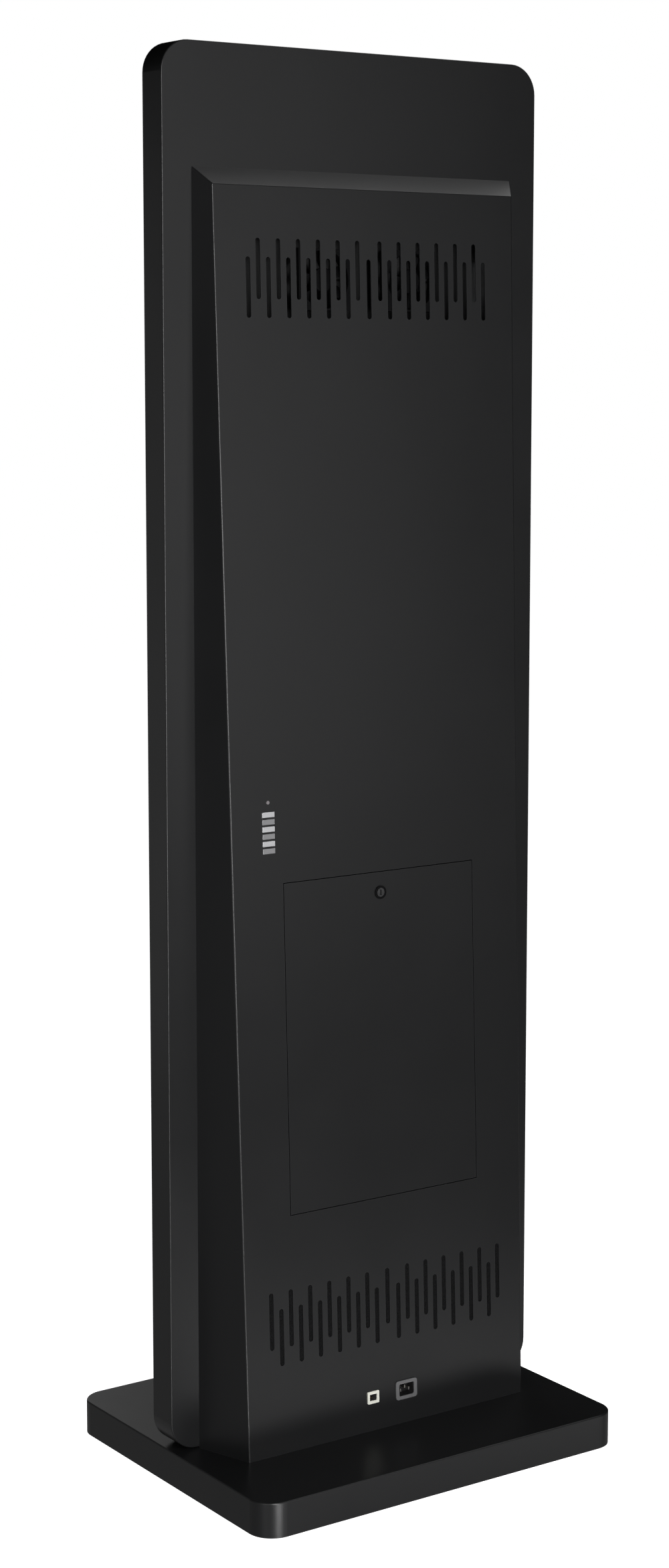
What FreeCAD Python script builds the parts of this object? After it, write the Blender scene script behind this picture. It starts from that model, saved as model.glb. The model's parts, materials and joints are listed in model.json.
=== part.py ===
"""Free-standing touchscreen kiosk: a tall slab display on a low rectangular base, with a wedge-shaped
electronics housing behind the slab.

The origin is on the floor under the middle of the base, +Z is up, the screen faces -Y and the housing +Y.
Lengths are millimetres.  The housing's rear face leans forward, so what is mounted on it is built upright
in a "face frame" (x across, y outwards from the face, z up along the face) and then tilted into place.
"""
import FreeCAD, Part
import math
import os
import re
import Sketcher

V = FreeCAD.Vector

# Driving dimensions: name, value, what it measures.
SIZES = [
    ("total_height", 1900, "floor to the top of the slab"),
    ("base_width", 590, "base, side to side"),
    ("base_depth", 480, "base, front to back"),
    ("base_height", 49, "floor to the top of the base"),
    ("base_radius", 35, "upright corners of the base"),
    ("base_wall", 2, "folded sheet of the base cover"),
    ("base_edge", 2, "rounding along the top rim of the base cover"),
    ("base_lift", 2, "floor to the lower edge of the base cover"),
    ("plate_thick", 8, "ballast plate"),
    ("plate_margin", 7, "ballast plate's edge to the inside of the cover"),
    ("foot_radius", 20, "rubber foot"),
    ("foot_height", 6, "rubber foot"),
    ("foot_margin", 42, "foot's centre in from the edge of the base"),
    ("post_radius", 8, "spacer post between ballast plate and cover"),
    ("post_margin", 68, "post's centre in from the edge of the base"),
    ("slab_width", 600, "display slab, side to side"),
    ("slab_depth", 45.5, "display slab, front to back"),
    ("slab_back", 22, "rear face of the slab, behind the middle of the base"),
    ("slab_gap", 1.5, "slab's lower edge above the base"),
    ("slab_radius", 40, "corners of the slab"),
    ("slab_wall", 1.5, "folded sheet of the display tray"),
    ("slab_edge", 1.5, "rounding along the rear rim of the slab"),
    ("glass_thick", 4, "cover glass"),
    ("glass_gap", 0.4, "cover glass to the rim of the tray"),
    ("tape_thick", 0.8, "mounting tape behind the glass"),
    ("frame_depth", 10, "frame that carries the glass"),
    ("frame_gap", 0.3, "glass frame to the rim of the tray"),
    ("frame_bar", 30, "glass frame's bars"),
    ("screen_width", 529.4, "active picture, side to side"),
    ("screen_height", 941.2, "active picture, top to bottom"),
    ("screen_drop", 100, "top of the slab to the top of the picture"),
    ("panel_rim", 8, "panel's border round the picture"),
    ("panel_gap", 1.5, "panel's edge to its window in the frame"),
    ("cell_thick", 2, "liquid crystal cell"),
    ("cell_gap", 0.2, "air gap between touch film and cell"),
    ("light_depth", 14, "backlight unit"),
    ("light_wall", 1, "sheet of the backlight's case"),
    ("guide_thick", 4, "light guide"),
    ("rail_height", 40, "rails behind the panel"),
    ("rail_wall", 1.5, "folded sheet of the rails"),
    ("window_width", 120, "cable window in the tray"),
    ("window_height", 60, "cable window in the tray"),
    ("spine_place", 218, "spine's centre from the middle"),
    ("spine_width", 34, "spine tube, side to side"),
    ("spine_depth", 18, "spine tube, front to back"),
    ("spine_wall", 2, "wall of the spine tube"),
    ("spine_top", 1650, "floor to the top of the spines"),
    ("flange_width", 90, "welded foot of a spine"),
    ("flange_depth", 60, "welded foot of a spine"),
    ("flange_thick", 8, "welded foot of a spine"),
    ("housing_width", 513, "housing against the slab, side to side"),
    ("housing_top", 1743, "floor to the top of the housing, against the slab"),
    ("bevel_drop", 22.3, "fall of the sloping top from the slab to the rear face"),
    ("top_depth", 24.8, "housing's depth where the rear face meets the sloping top"),
    ("root_depth", 82.8, "housing's depth at the base"),
    ("reach", 1.25, "share of its depth that the form is lofted to before the rear face is cut flat"),
    ("top_inset", 15.9, "rear face narrower than the front, each side, at the top"),
    ("root_inset", 26.8, "rear face narrower than the front, each side, at the base"),
    ("sheet", 1.5, "sheet of the housing and the door"),
    ("housing_edge", 2, "outer radius of the housing's bends"),
    ("slot_width", 7, "vent slot"),
    ("slot_length", 78, "vent slot, end to end"),
    ("slot_pitch", 15.6, "from one vent slot to the next"),
    ("slot_middle", 18, "from the middle slot to its neighbours"),
    ("slot_stagger", 24, "every other slot lower"),
    ("foam_lap", 6.5, "filter foam past the slots, each way"),
    ("low_vent", 171.5, "middle of the lower vent up the face"),
    ("high_vent", 1555.5, "middle of the upper vent up the face"),
    ("door_width", 310, "service door"),
    ("door_height", 445, "service door, up the face"),
    ("door_root", 323, "lower edge of the door up the face"),
    ("door_gap", 1.2, "seam round the door"),
    ("door_return", 8, "folded edge down each side of the door"),
    ("hinge_place", 110, "hinge's centre from the middle"),
    ("hinge_inset", 8, "hinge axis in from the outer face"),
    ("hinge_drop", 12, "hinge axis below the door's lower edge"),
    ("pin_radius", 2, "hinge pin"),
    ("pin_fit", 0.06, "running clearance round a hinge pin"),
    ("arm_width", 20, "swan-neck hinge arm"),
    ("arm_thick", 2, "swan-neck hinge arm"),
    ("arm_reach", 15, "swan neck's depth behind the hinge axis"),
    ("arm_rise", 20, "swan neck's height above the hinge axis"),
    ("lock_drop", 27.5, "lock's centre below the door's upper edge"),
    ("lock_flange", 9, "radius of the lock's ring"),
    ("lock_barrel_radius", 8, "lock barrel through the door"),
    ("lock_depth", 11.5, "lock barrel behind the outer face"),
    ("plug_radius", 6, "turning plug of the lock"),
    ("plug_fit", 0.08, "running clearance round the plug"),
    ("cam_length", 36, "cam, from the plug's axis to its tip"),
    ("cam_width", 16, "cam"),
    ("cam_thick", 2.2, "cam"),
    ("cam_gap", 0.5, "cam behind the barrel"),
    ("key_place", 177.5, "key column's centre from the middle"),
    ("key_root", 813.5, "lowest key's centre up the face"),
    ("key_pitch", 9.6, "from one key to the next"),
    ("key_width", 19, "key cap"),
    ("key_height", 6.8, "key cap"),
    ("key_proud", 1, "key cap out of the face"),
    ("key_gap", 0.3, "key cap to its window"),
    ("key_travel", 0.8, "stroke of a key"),
    ("lens_radius", 2.4, "indicator lens"),
    ("lens_rise", 16, "indicator above the top key"),
    ("port_place", 28, "inlet and jack from the middle"),
    ("port_root", 47, "inlet and jack up the face"),
    ("inlet_width", 35.3, "inlet's bezel"),
    ("inlet_height", 26.4, "inlet's bezel"),
    ("inlet_mouth_width", 25, "inlet's cavity"),
    ("inlet_mouth_height", 17, "inlet's cavity"),
    ("inlet_depth", 18, "inlet behind the face"),
    ("jack_width", 19, "network jack's bezel"),
    ("jack_height", 17, "network jack's bezel"),
    ("jack_mouth_width", 12, "network jack's cavity"),
    ("jack_mouth_height", 9, "network jack's cavity"),
    ("jack_depth", 18, "network jack behind the face"),
    ("port_proud", 2, "bezels out of the face"),
    ("fan_size", 80, "fan frame"),
    ("fan_depth", 15, "fan frame"),
    ("fan_place", 70, "fan's centre from the middle"),
    ("fan_bore", 38, "radius of the fan's duct"),
    ("hub_radius", 16, "fan rotor's hub"),
    ("tray_foot", 8, "electronics plate off the back of the tray"),
    ("bay_root", 385, "floor to the lower edge of the electronics plate"),
    ("bay_height", 420, "electronics plate"),
    ("bay_width", 280, "electronics plate"),
    ("standoff", 4, "boards off the electronics plate"),
    ("screw_radius", 2, "small screws"),
    ("screw_gap", 0.3, "hole round a screw, on the radius"),
]
NAMES = {alias for alias, value, note in SIZES}

# Named values worked out from the driving dimensions.
FORMULAS = {
    "slab_front": "slab_back - slab_depth",
    "slab_root": "base_height + slab_gap",
    "slab_height": "total_height - slab_root",
    "slab_middle": "(total_height + slab_root) / 2",
    "tray_floor": "slab_back - slab_wall",
    "glass_back": "slab_front + glass_thick",
    "tape_back": "glass_back + tape_thick",
    "frame_back": "tape_back + frame_depth",
    "cell_front": "tape_back + cell_gap",
    "light_front": "cell_front + cell_thick",
    "light_back": "light_front + light_depth",
    "panel_width": "screen_width + 2 * panel_rim",
    "panel_height": "screen_height + 2 * panel_rim",
    "panel_middle": "total_height - screen_drop - screen_height / 2",
    "plate_top": "foot_height + plate_thick",
    "cover_under": "base_height - base_wall",
    "spine_middle": "slab_back + spine_depth / 2",
    "housing_shoulder": "housing_top - bevel_drop",
    "face_run": "housing_shoulder - base_height",
    "tilt": "atan((root_depth - top_depth) / face_run)",
    "face_root": "slab_back + root_depth",
    "door_top": "door_root + door_height",
    "lock_height": "door_top - lock_drop",
    "axis_height": "door_root - hinge_drop",
    "cam_front": "lock_depth + cam_gap",
    "hole_radius": "screw_radius + screw_gap",
    "lens_height": "key_root + 5 * key_pitch + lens_rise",
    "switch_top": "2 * sheet + 1.5 + key_travel + 0.2",
    "board_front": "switch_top + 3.4",
    "electronics_back": "slab_back + tray_foot",
    "cable_window": "bay_root + bay_height + window_height + 30",
    "housing_screw_place": "housing_width / 2 - 10",
}
WORD = re.compile(r"[a-z_]+")

doc = FreeCAD.newDocument("kiosk")
sheet = doc.addObject("Spreadsheet::Sheet", "Sizes")
for row, (alias, value, note) in enumerate(SIZES, start=1):
    sheet.set(f"A{row}", note)
    sheet.set(f"B{row}", str(value))
    sheet.setAlias(f"B{row}", alias)
doc.recompute()
nodes = []


# ---------------------------------------------------------------- helpers

def link(text):
    """Turn names of sizes in a formula into references to the sheet."""
    def one(word):
        name = word.group()
        if name in NAMES:
            return "Sizes." + name
        if name in FORMULAS:
            return "(" + link(FORMULAS[name]) + ")"
        return name
    return WORD.sub(one, text)


def number(text):
    """The present value of a formula, as a plain number."""
    result = sheet.evalExpression(link(text))
    return float(getattr(result, "Value", result))


def bind(item, **formulas):
    """Bind properties of an object to formulas; a double underscore stands for a dot."""
    for name, text in formulas.items():
        item.setExpression(name.replace("__", "."), link(text))


def place(item, x="0", y="0", z="0"):
    """Put an object at a point of the kiosk's frame."""
    bind(item, Placement__Base__x=x, Placement__Base__y=y, Placement__Base__z=z)


def on_face(item, x="0", out="0", up="0", turn="tilt"):
    """Put an object at a point of the face frame, tilted with the face."""
    item.Placement = FreeCAD.Placement(V(0, 0, 0), FreeCAD.Rotation(V(1, 0, 0), 1))
    place(item, x, f"face_root + ({out}) * cos(tilt) - ({up}) * sin(tilt)",
          f"base_height + ({out}) * sin(tilt) + ({up}) * cos(tilt)")
    bind(item, Placement__Rotation__Angle=turn)


def on_axis(item, x, out, up):
    """Put an object whose own Z is an axis square to the face, pointing outwards."""
    on_face(item, x, out, up, "tilt - 90 deg")


def node(item, label):
    """Name a finished sub-part and put it on the list of what is exported."""
    item.Label = label
    nodes.append(item)
    return item


def block(name, wide, deep, high, x="0", y="0", z="0"):
    """A box centred on x, with its front at y and its underside at z."""
    box = doc.addObject("Part::Box", name)
    bind(box, Length=wide, Width=deep, Height=high)
    place(box, f"({x}) - ({wide}) / 2", y, z)
    return box


def face_block(name, wide, deep, high, x, out, up):
    """A box in the face frame, centred on x and up, with its inner side at out."""
    box = doc.addObject("Part::Box", name)
    bind(box, Length=wide, Width=deep, Height=high)
    on_face(box, f"({x}) - ({wide}) / 2", out, f"({up}) - ({high}) / 2")
    return box


def rod(name, radius, length, x="0", y="0", z="0"):
    """An upright cylinder standing on z."""
    cylinder = doc.addObject("Part::Cylinder", name)
    bind(cylinder, Radius=radius, Height=length)
    place(cylinder, x, y, z)
    return cylinder


def level_rod(name, radius, length, x, y, z):
    """A cylinder along Y that starts at y."""
    cylinder = doc.addObject("Part::Cylinder", name)
    cylinder.Placement = FreeCAD.Placement(V(0, 0, 0), FreeCAD.Rotation(V(1, 0, 0), -90))
    bind(cylinder, Radius=radius, Height=length)
    place(cylinder, x, y, z)
    return cylinder


def face_rod(name, radius, length, x, out, up):
    """A cylinder square to the face that starts at out and runs outwards."""
    cylinder = doc.addObject("Part::Cylinder", name)
    bind(cylinder, Radius=radius, Height=length)
    on_axis(cylinder, x, out, up)
    return cylinder


def fuse(name, items):
    """One solid from several."""
    joined = doc.addObject("Part::MultiFuse", name)
    joined.Shapes = items
    joined.Refine = True
    return joined


def cut(name, base, tools):
    """A solid less one or more tools."""
    result = doc.addObject("Part::Cut", name)
    result.Base = base
    result.Tool = tools[0] if len(tools) == 1 else group(name + "_tools", tools)
    result.Refine = True
    return result


def group(name, items):
    """Identical pieces that share one node."""
    compound = doc.addObject("Part::Compound", name)
    compound.Links = items
    return compound


def new_body(label):
    """A PartDesign body that becomes one sub-part."""
    return node(doc.addObject("PartDesign::Body", label), label)


def new_sketch(body, name, plane, lift="0"):
    """A sketch on one of the body's own origin planes, lifted along the plane's normal."""
    sketch = body.newObject("Sketcher::SketchObject", name)
    origin = next(item for item in body.Origin.OriginFeatures if item.Role == plane)
    sketch.AttachmentSupport = (origin, [""])
    sketch.MapMode = "FlatFace"
    bind(sketch, AttachmentOffset__Base__z=lift)
    return sketch


def fix(sketch, element, point, x, y):
    """Tie a point of a sketch to formulas for its two coordinates."""
    for kind, text in (("DistanceX", x), ("DistanceY", y)):
        index = sketch.addConstraint(Sketcher.Constraint(kind, element, point, number(text)))
        sketch.setExpression(f"Constraints[{index}]", link(text))


def outline(sketch, points):
    """A closed polygon through points given as pairs of formulas."""
    corners = [V(number(x), number(y), 0) for x, y in points]
    first = sketch.GeometryCount
    for start, end in zip(corners, corners[1:] + corners[:1]):
        sketch.addGeometry(Part.LineSegment(start, end))
    for step, (x, y) in enumerate(points):
        after = first + (step + 1) % len(points)
        sketch.addConstraint(Sketcher.Constraint("Coincident", first + step, 2, after, 1))
        fix(sketch, first + step, 1, x, y)
    return sketch


def rectangle(sketch, wide, high, x="0", y="0"):
    """A rectangle centred on a point."""
    left, right = f"({x}) - ({wide}) / 2", f"({x}) + ({wide}) / 2"
    low, high_side = f"({y}) - ({high}) / 2", f"({y}) + ({high}) / 2"
    return outline(sketch, [(left, low), (right, low), (right, high_side), (left, high_side)])


def rounded(sketch, wide, high, radius, x="0", y="0"):
    """A rectangle with round corners, centred on a point."""
    reach_x, reach_y = f"(({wide}) / 2 - ({radius}))", f"(({high}) / 2 - ({radius}))"
    corners = [(1, 1, 0), (-1, 1, 90), (-1, -1, 180), (1, -1, 270)]
    first = sketch.GeometryCount
    size = number(radius)
    arcs = []
    for side_x, side_y, start in corners:
        centre = V(number(x) + side_x * number(reach_x), number(y) + side_y * number(reach_y), 0)
        circle = Part.Circle(centre, V(0, 0, 1), size)
        arcs.append(Part.ArcOfCircle(circle, math.radians(start), math.radians(start + 90)))
    for arc, after in zip(arcs, arcs[1:] + arcs[:1]):
        sketch.addGeometry(arc)
        sketch.addGeometry(Part.LineSegment(arc.EndPoint, after.StartPoint))
    for step, (side_x, side_y, start) in enumerate(corners):
        arc, line, after = first + 2 * step, first + 2 * step + 1, first + (2 * step + 2) % 8
        sketch.addConstraint(Sketcher.Constraint("Tangent", arc, 2, line, 1))
        sketch.addConstraint(Sketcher.Constraint("Tangent", line, 2, after, 1))
        fix(sketch, arc, 3, f"({x}) + {side_x} * {reach_x}", f"({y}) + {side_y} * {reach_y}")
        if step:
            sketch.addConstraint(Sketcher.Constraint("Equal", first, arc))
    index = sketch.addConstraint(Sketcher.Constraint("Radius", first, size))
    sketch.setExpression(f"Constraints[{index}]", link(radius))
    return sketch


def upright_slot(sketch, wide, high, x, y):
    """An upright slot with half-round ends, centred on a point."""
    rise = f"(({high}) / 2 - ({wide}) / 2)"
    size = number(wide) / 2
    ends = [(1, 0), (-1, 180)]
    arcs = []
    for side, start in ends:
        centre = V(number(x), number(y) + side * number(rise), 0)
        circle = Part.Circle(centre, V(0, 0, 1), size)
        arcs.append(Part.ArcOfCircle(circle, math.radians(start), math.radians(start + 180)))
    first = sketch.GeometryCount
    for arc, after in zip(arcs, arcs[1:] + arcs[:1]):
        sketch.addGeometry(arc)
        sketch.addGeometry(Part.LineSegment(arc.EndPoint, after.StartPoint))
    for step, (side, start) in enumerate(ends):
        arc, line, after = first + 2 * step, first + 2 * step + 1, first + (2 * step + 2) % 4
        sketch.addConstraint(Sketcher.Constraint("Tangent", arc, 2, line, 1))
        sketch.addConstraint(Sketcher.Constraint("Tangent", line, 2, after, 1))
        fix(sketch, arc, 3, x, f"({y}) + {side} * {rise}")
    sketch.addConstraint(Sketcher.Constraint("Equal", first, first + 2))
    index = sketch.addConstraint(Sketcher.Constraint("Radius", first, size))
    sketch.setExpression(f"Constraints[{index}]", link(f"({wide}) / 2"))
    return sketch


def circle(sketch, radius, x="0", y="0"):
    """A circle about a point."""
    index = sketch.addGeometry(Part.Circle(V(number(x), number(y), 0), V(0, 0, 1), number(radius)))
    fix(sketch, index, 3, x, y)
    tied = sketch.addConstraint(Sketcher.Constraint("Radius", index, number(radius)))
    sketch.setExpression(f"Constraints[{tied}]", link(radius))
    return sketch


def pad(body, sketch, length, backwards=False):
    """Add a sketch's area, along its normal unless backwards."""
    feature = body.newObject("PartDesign::Pad", sketch.Name + "_pad")
    feature.Profile = sketch
    feature.Reversed = backwards
    bind(feature, Length=length)
    sketch.Visibility = False
    doc.recompute()
    return feature


def pocket(body, sketch, length, along=False):
    """Take a sketch's area away, against its normal unless along; it has to cut something."""
    before = body.Shape.Volume
    feature = body.newObject("PartDesign::Pocket", sketch.Name + "_pocket")
    feature.Profile = sketch
    feature.Refine = False
    feature.Reversed = along
    bind(feature, Length=length)
    sketch.Visibility = False
    doc.recompute()
    if body.Shape.Volume > before - 1e-3:
        raise RuntimeError(f"{body.Label}: {sketch.Name} cuts nothing")
    return feature


def round_edges(body, feature, radius, wanted):
    """Fillet the edges of a feature that a test picks out."""
    edges = [f"Edge{index}" for index, edge in enumerate(feature.Shape.Edges, start=1) if wanted(edge)]
    fillet = body.newObject("PartDesign::Fillet", body.Name + "_fillet")
    fillet.Base = (feature, edges)
    bind(fillet, Radius=radius)
    doc.recompute()
    return fillet


SIDES = (("left", "1"), ("right", "-1"))
QUARTERS = [(x, y) for x in ("1", "-1") for y in ("1", "-1")]


# ---------------------------------------------------------------- base

def make_base_cover():
    """Folded cover of the base: round upright corners, open underneath, slots for the two spines."""
    body = new_body("base_cover")
    place(body, z="base_lift")
    outer = rounded(new_sketch(body, "cover_outer", "XY_Plane"), "base_width", "base_depth", "base_radius")
    solid = pad(body, outer, "base_height - base_lift")
    top = number("base_height - base_lift")
    round_edges(body, solid, "base_edge", lambda edge: edge.BoundBox.ZMin > top - 1e-3)
    inner = rounded(new_sketch(body, "cover_inner", "XY_Plane"), "base_width - 2 * base_wall",
                    "base_depth - 2 * base_wall", "base_radius - base_wall")
    pocket(body, inner, "base_height - base_lift - base_wall", along=True)
    slots = new_sketch(body, "cover_slots", "XY_Plane")
    for side, sign in SIDES:
        rectangle(slots, "spine_width + 2", "spine_depth + 2", f"{sign} * spine_place", "spine_middle")
    pocket(body, slots, "base_height", along=True)


def make_base_plate():
    """Steel ballast plate low in the base, drilled for the feet, the posts and the spines."""
    body = new_body("base_plate")
    place(body, z="foot_height")
    inset = "(base_wall + plate_margin)"
    plate = rounded(new_sketch(body, "plate_outline", "XY_Plane"), f"base_width - 2 * {inset}",
                    f"base_depth - 2 * {inset}", f"base_radius - {inset}")
    pad(body, plate, "plate_thick")
    holes = new_sketch(body, "plate_holes", "XY_Plane")
    for x, y in QUARTERS:
        for margin in ("foot_margin", "post_margin"):
            circle(holes, "2.5 + screw_gap", f"{x} * (base_width / 2 - {margin})",
                   f"{y} * (base_depth / 2 - {margin})")
        circle(holes, "4 + screw_gap", *spine_bolt_place(x, y))
    pocket(body, holes, "plate_thick", along=True)


def spine_bolt_place(side, end):
    """Where a spine's bolt stands."""
    return (f"{side} * (spine_place + {end} * (flange_width / 2 - 14))", "spine_middle")


def make_feet():
    """Four rubber feet, each with a sunk screw up into the ballast plate."""
    feet = []
    screws = []
    for index, (x, y) in enumerate(QUARTERS):
        at = (f"{x} * (base_width / 2 - foot_margin)", f"{y} * (base_depth / 2 - foot_margin)")
        pad_shape = rod(f"foot_{index}", "foot_radius", "foot_height", *at)
        bore = rod(f"foot_bore_{index}", "2.5 + screw_gap", "foot_height", *at)
        sink = rod(f"foot_sink_{index}", "5.5", "2.8", *at)
        feet.append(cut(f"foot_ring_{index}", pad_shape, [bore, sink]))
        shank = rod(f"foot_shank_{index}", "2.5", "foot_height + plate_thick - 3.8", *at, "2.8")
        head = rod(f"foot_head_{index}", "5", "2", *at, "0.8")
        screws.append(fuse(f"foot_screw_{index}", [head, shank]))
    node(group("feet", feet), "base_feet")
    node(group("foot_screw_group", screws), "foot_screws")


def make_posts():
    """Four spacer posts that hold the cover up off the plate, with screws from below."""
    posts = []
    screws = []
    for index, (x, y) in enumerate(QUARTERS):
        at = (f"{x} * (base_width / 2 - post_margin)", f"{y} * (base_depth / 2 - post_margin)")
        post = rod(f"post_{index}", "post_radius", "cover_under - plate_top", *at, "plate_top")
        bore = rod(f"post_bore_{index}", "2.5 + screw_gap", "12", *at, "plate_top")
        posts.append(cut(f"bored_post_{index}", post, [bore]))
        head = rod(f"post_head_{index}", "5", "2.5", *at, "foot_height - 2.5")
        shank = rod(f"post_shank_{index}", "2.5", "plate_thick + 10", *at, "foot_height")
        screws.append(fuse(f"post_screw_{index}", [head, shank]))
    node(group("posts", posts), "cover_posts")
    node(group("post_screw_group", screws), "post_screws")


# ---------------------------------------------------------------- spines

def make_spine(side, sign):
    """Steel tube that carries the slab: stands on the ballast plate on a welded foot."""
    body = new_body(f"spine_{side}")
    place(body, f"{sign} * spine_place", "spine_middle", "plate_top")
    tube = new_sketch(body, f"tube_{side}", "XY_Plane")
    rectangle(tube, "spine_width", "spine_depth")
    pad(body, tube, "spine_top - plate_top")
    foot = new_sketch(body, f"flange_{side}", "XY_Plane")
    rectangle(foot, "flange_width", "flange_depth")
    pad(body, foot, "flange_thick")
    bore = new_sketch(body, f"tube_bore_{side}", "XY_Plane")
    rectangle(bore, "spine_width - 2 * spine_wall", "spine_depth - 2 * spine_wall")
    pocket(body, bore, "spine_top", along=True)
    holes = new_sketch(body, f"flange_holes_{side}", "XY_Plane")
    for end in ("1", "-1"):
        circle(holes, "4 + screw_gap", f"{end} * (flange_width / 2 - 14)", "0")
    pocket(body, holes, "flange_thick", along=True)
    taps = new_sketch(body, f"spine_taps_{side}", "XZ_Plane", "spine_depth / 2")
    for height in TRAY_SCREW_ROWS:
        circle(taps, "hole_radius", "0", f"{height} - plate_top")
    pocket(body, taps, "spine_wall")


def make_spine_bolts():
    """Hexagon bolts down through the spines' feet into the ballast plate."""
    bolts = []
    for index, (side, end) in enumerate(QUARTERS):
        x, y = spine_bolt_place(side, end)
        head = doc.addObject("Part::Prism", f"bolt_head_{index}")
        head.Polygon = 6
        bind(head, Circumradius="7.5", Height="5.5")
        place(head, x, y, "plate_top + flange_thick")
        shank = rod(f"bolt_shank_{index}", "4", "flange_thick + plate_thick - 1", x, y, "foot_height + 1")
        bolts.append(fuse(f"spine_bolt_{index}", [head, shank]))
    node(group("bolts", bolts), "spine_bolts")


TRAY_SCREW_ROWS = ("200", "600", "1000", "1400")


def make_tray_screws():
    """Pan-head screws from inside the tray into the spines."""
    screws = []
    for side, sign in SIDES:
        for row, height in enumerate(TRAY_SCREW_ROWS):
            name = f"tray_screw_{side}_{row}"
            x = f"{sign} * spine_place"
            head = level_rod(name + "_head", "4", "2.4", x, "tray_floor - 2.4", height)
            shank = level_rod(name + "_shank", "screw_radius", "slab_wall + spine_wall + 1", x,
                              "tray_floor", height)
            screws.append(fuse(name, [head, shank]))
    node(group("tray_screw_group", screws), "tray_screws")


# ---------------------------------------------------------------- display slab

def make_display_tray():
    """Shallow folded tray: the slab's back and its four sides, open to the front."""
    body = new_body("display_tray")
    outer = rounded(new_sketch(body, "tray_outer", "XZ_Plane", "-slab_back"), "slab_width", "slab_height",
                    "slab_radius", "0", "slab_middle")
    solid = pad(body, outer, "slab_depth")
    back = number("slab_back")
    round_edges(body, solid, "slab_edge", lambda edge: edge.BoundBox.YMin > back - 1e-3)
    inner = rounded(new_sketch(body, "tray_inner", "XZ_Plane", "-tray_floor"), "slab_width - 2 * slab_wall",
                    "slab_height - 2 * slab_wall", "slab_radius - slab_wall", "0", "slab_middle")
    pocket(body, inner, "slab_depth", along=True)
    holes = new_sketch(body, "tray_holes", "XZ_Plane", "-slab_back")
    rectangle(holes, "window_width", "window_height", "0", "cable_window")
    for side, sign in SIDES:
        for height in TRAY_SCREW_ROWS:
            circle(holes, "hole_radius", f"{sign} * spine_place", height)
        for height in HOUSING_SCREW_ROWS:
            circle(holes, "hole_radius", f"{sign} * housing_screw_place", height)
    for x, height in rail_screw_places():
        circle(holes, "hole_radius", x, height)
    pocket(body, holes, "slab_wall", along=True)


def frame_plate(label, front, thick, gap):
    """A plate the size of the slab's opening, with a window for the panel and one below it."""
    body = new_body(label)
    edge = f"(slab_wall + {gap})"
    lift = f"-({front})"
    outer = rounded(new_sketch(body, label + "_outer", "XZ_Plane", lift), f"slab_width - 2 * {edge}",
                    f"slab_height - 2 * {edge}", f"slab_radius - {edge}", "0", "slab_middle")
    pad(body, outer, thick, backwards=True)
    windows = new_sketch(body, label + "_windows", "XZ_Plane", lift)
    rectangle(windows, "panel_width + 2 * panel_gap", "panel_height + 2 * panel_gap", "0", "panel_middle")
    low = f"(slab_root + {edge} + frame_bar)"
    high = "(panel_middle - panel_height / 2 - panel_gap - frame_bar)"
    rectangle(windows, f"slab_width - 2 * {edge} - 2 * frame_bar", f"{high} - {low}", "0", f"({high} + {low}) / 2")
    pocket(body, windows, thick)


def make_cover_glass():
    """Toughened glass over the whole front, flush with the rim of the tray."""
    body = new_body("cover_glass")
    edge = "(slab_wall + glass_gap)"
    sheet_outline = rounded(new_sketch(body, "glass_outline", "XZ_Plane", "-slab_front"),
                            f"slab_width - 2 * {edge}", f"slab_height - 2 * {edge}", f"slab_radius - {edge}",
                            "0", "slab_middle")
    pad(body, sheet_outline, "glass_thick", backwards=True)


def make_screen_stack():
    """Touch film on the glass, the liquid crystal cell, the backlight's case and its light guide."""
    low = "panel_middle - panel_height / 2"
    node(block("film", "panel_width", "tape_thick", "panel_height", "0", "glass_back", low), "touch_film")
    node(block("cell", "panel_width", "cell_thick", "panel_height", "0", "cell_front", low), "lcd_cell")
    case = block("light_case", "panel_width", "light_depth", "panel_height", "0", "light_front", low)
    well = block("light_well", "panel_width - 2 * light_wall", "light_depth - light_wall",
                 "panel_height - 2 * light_wall", "0", "light_front", f"{low} + light_wall")
    node(cut("light_unit", case, [well]), "backlight_unit")
    guide = block("guide", "panel_width - 2 * light_wall - 1", "guide_thick",
                  "panel_height - 2 * light_wall - 1", "0", "light_back - light_wall - guide_thick",
                  f"{low} + light_wall + 0.5")
    node(guide, "light_guide")
    board = block("timing_pcb", "300", "1.6", "50", "0", "light_back", "panel_middle - 25")
    connector = block("timing_plug", "40", "4", "8", "0", "light_back + 1.6", "panel_middle - 4")
    node(fuse("timing", [board, connector]), "timing_board")


def rail_screw_places():
    """Where the rails are screwed to the tray."""
    return [(x, f"panel_middle + {row} * panel_height / 4") for x in ("-120", "120") for row in ("-1", "1")]


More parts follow.
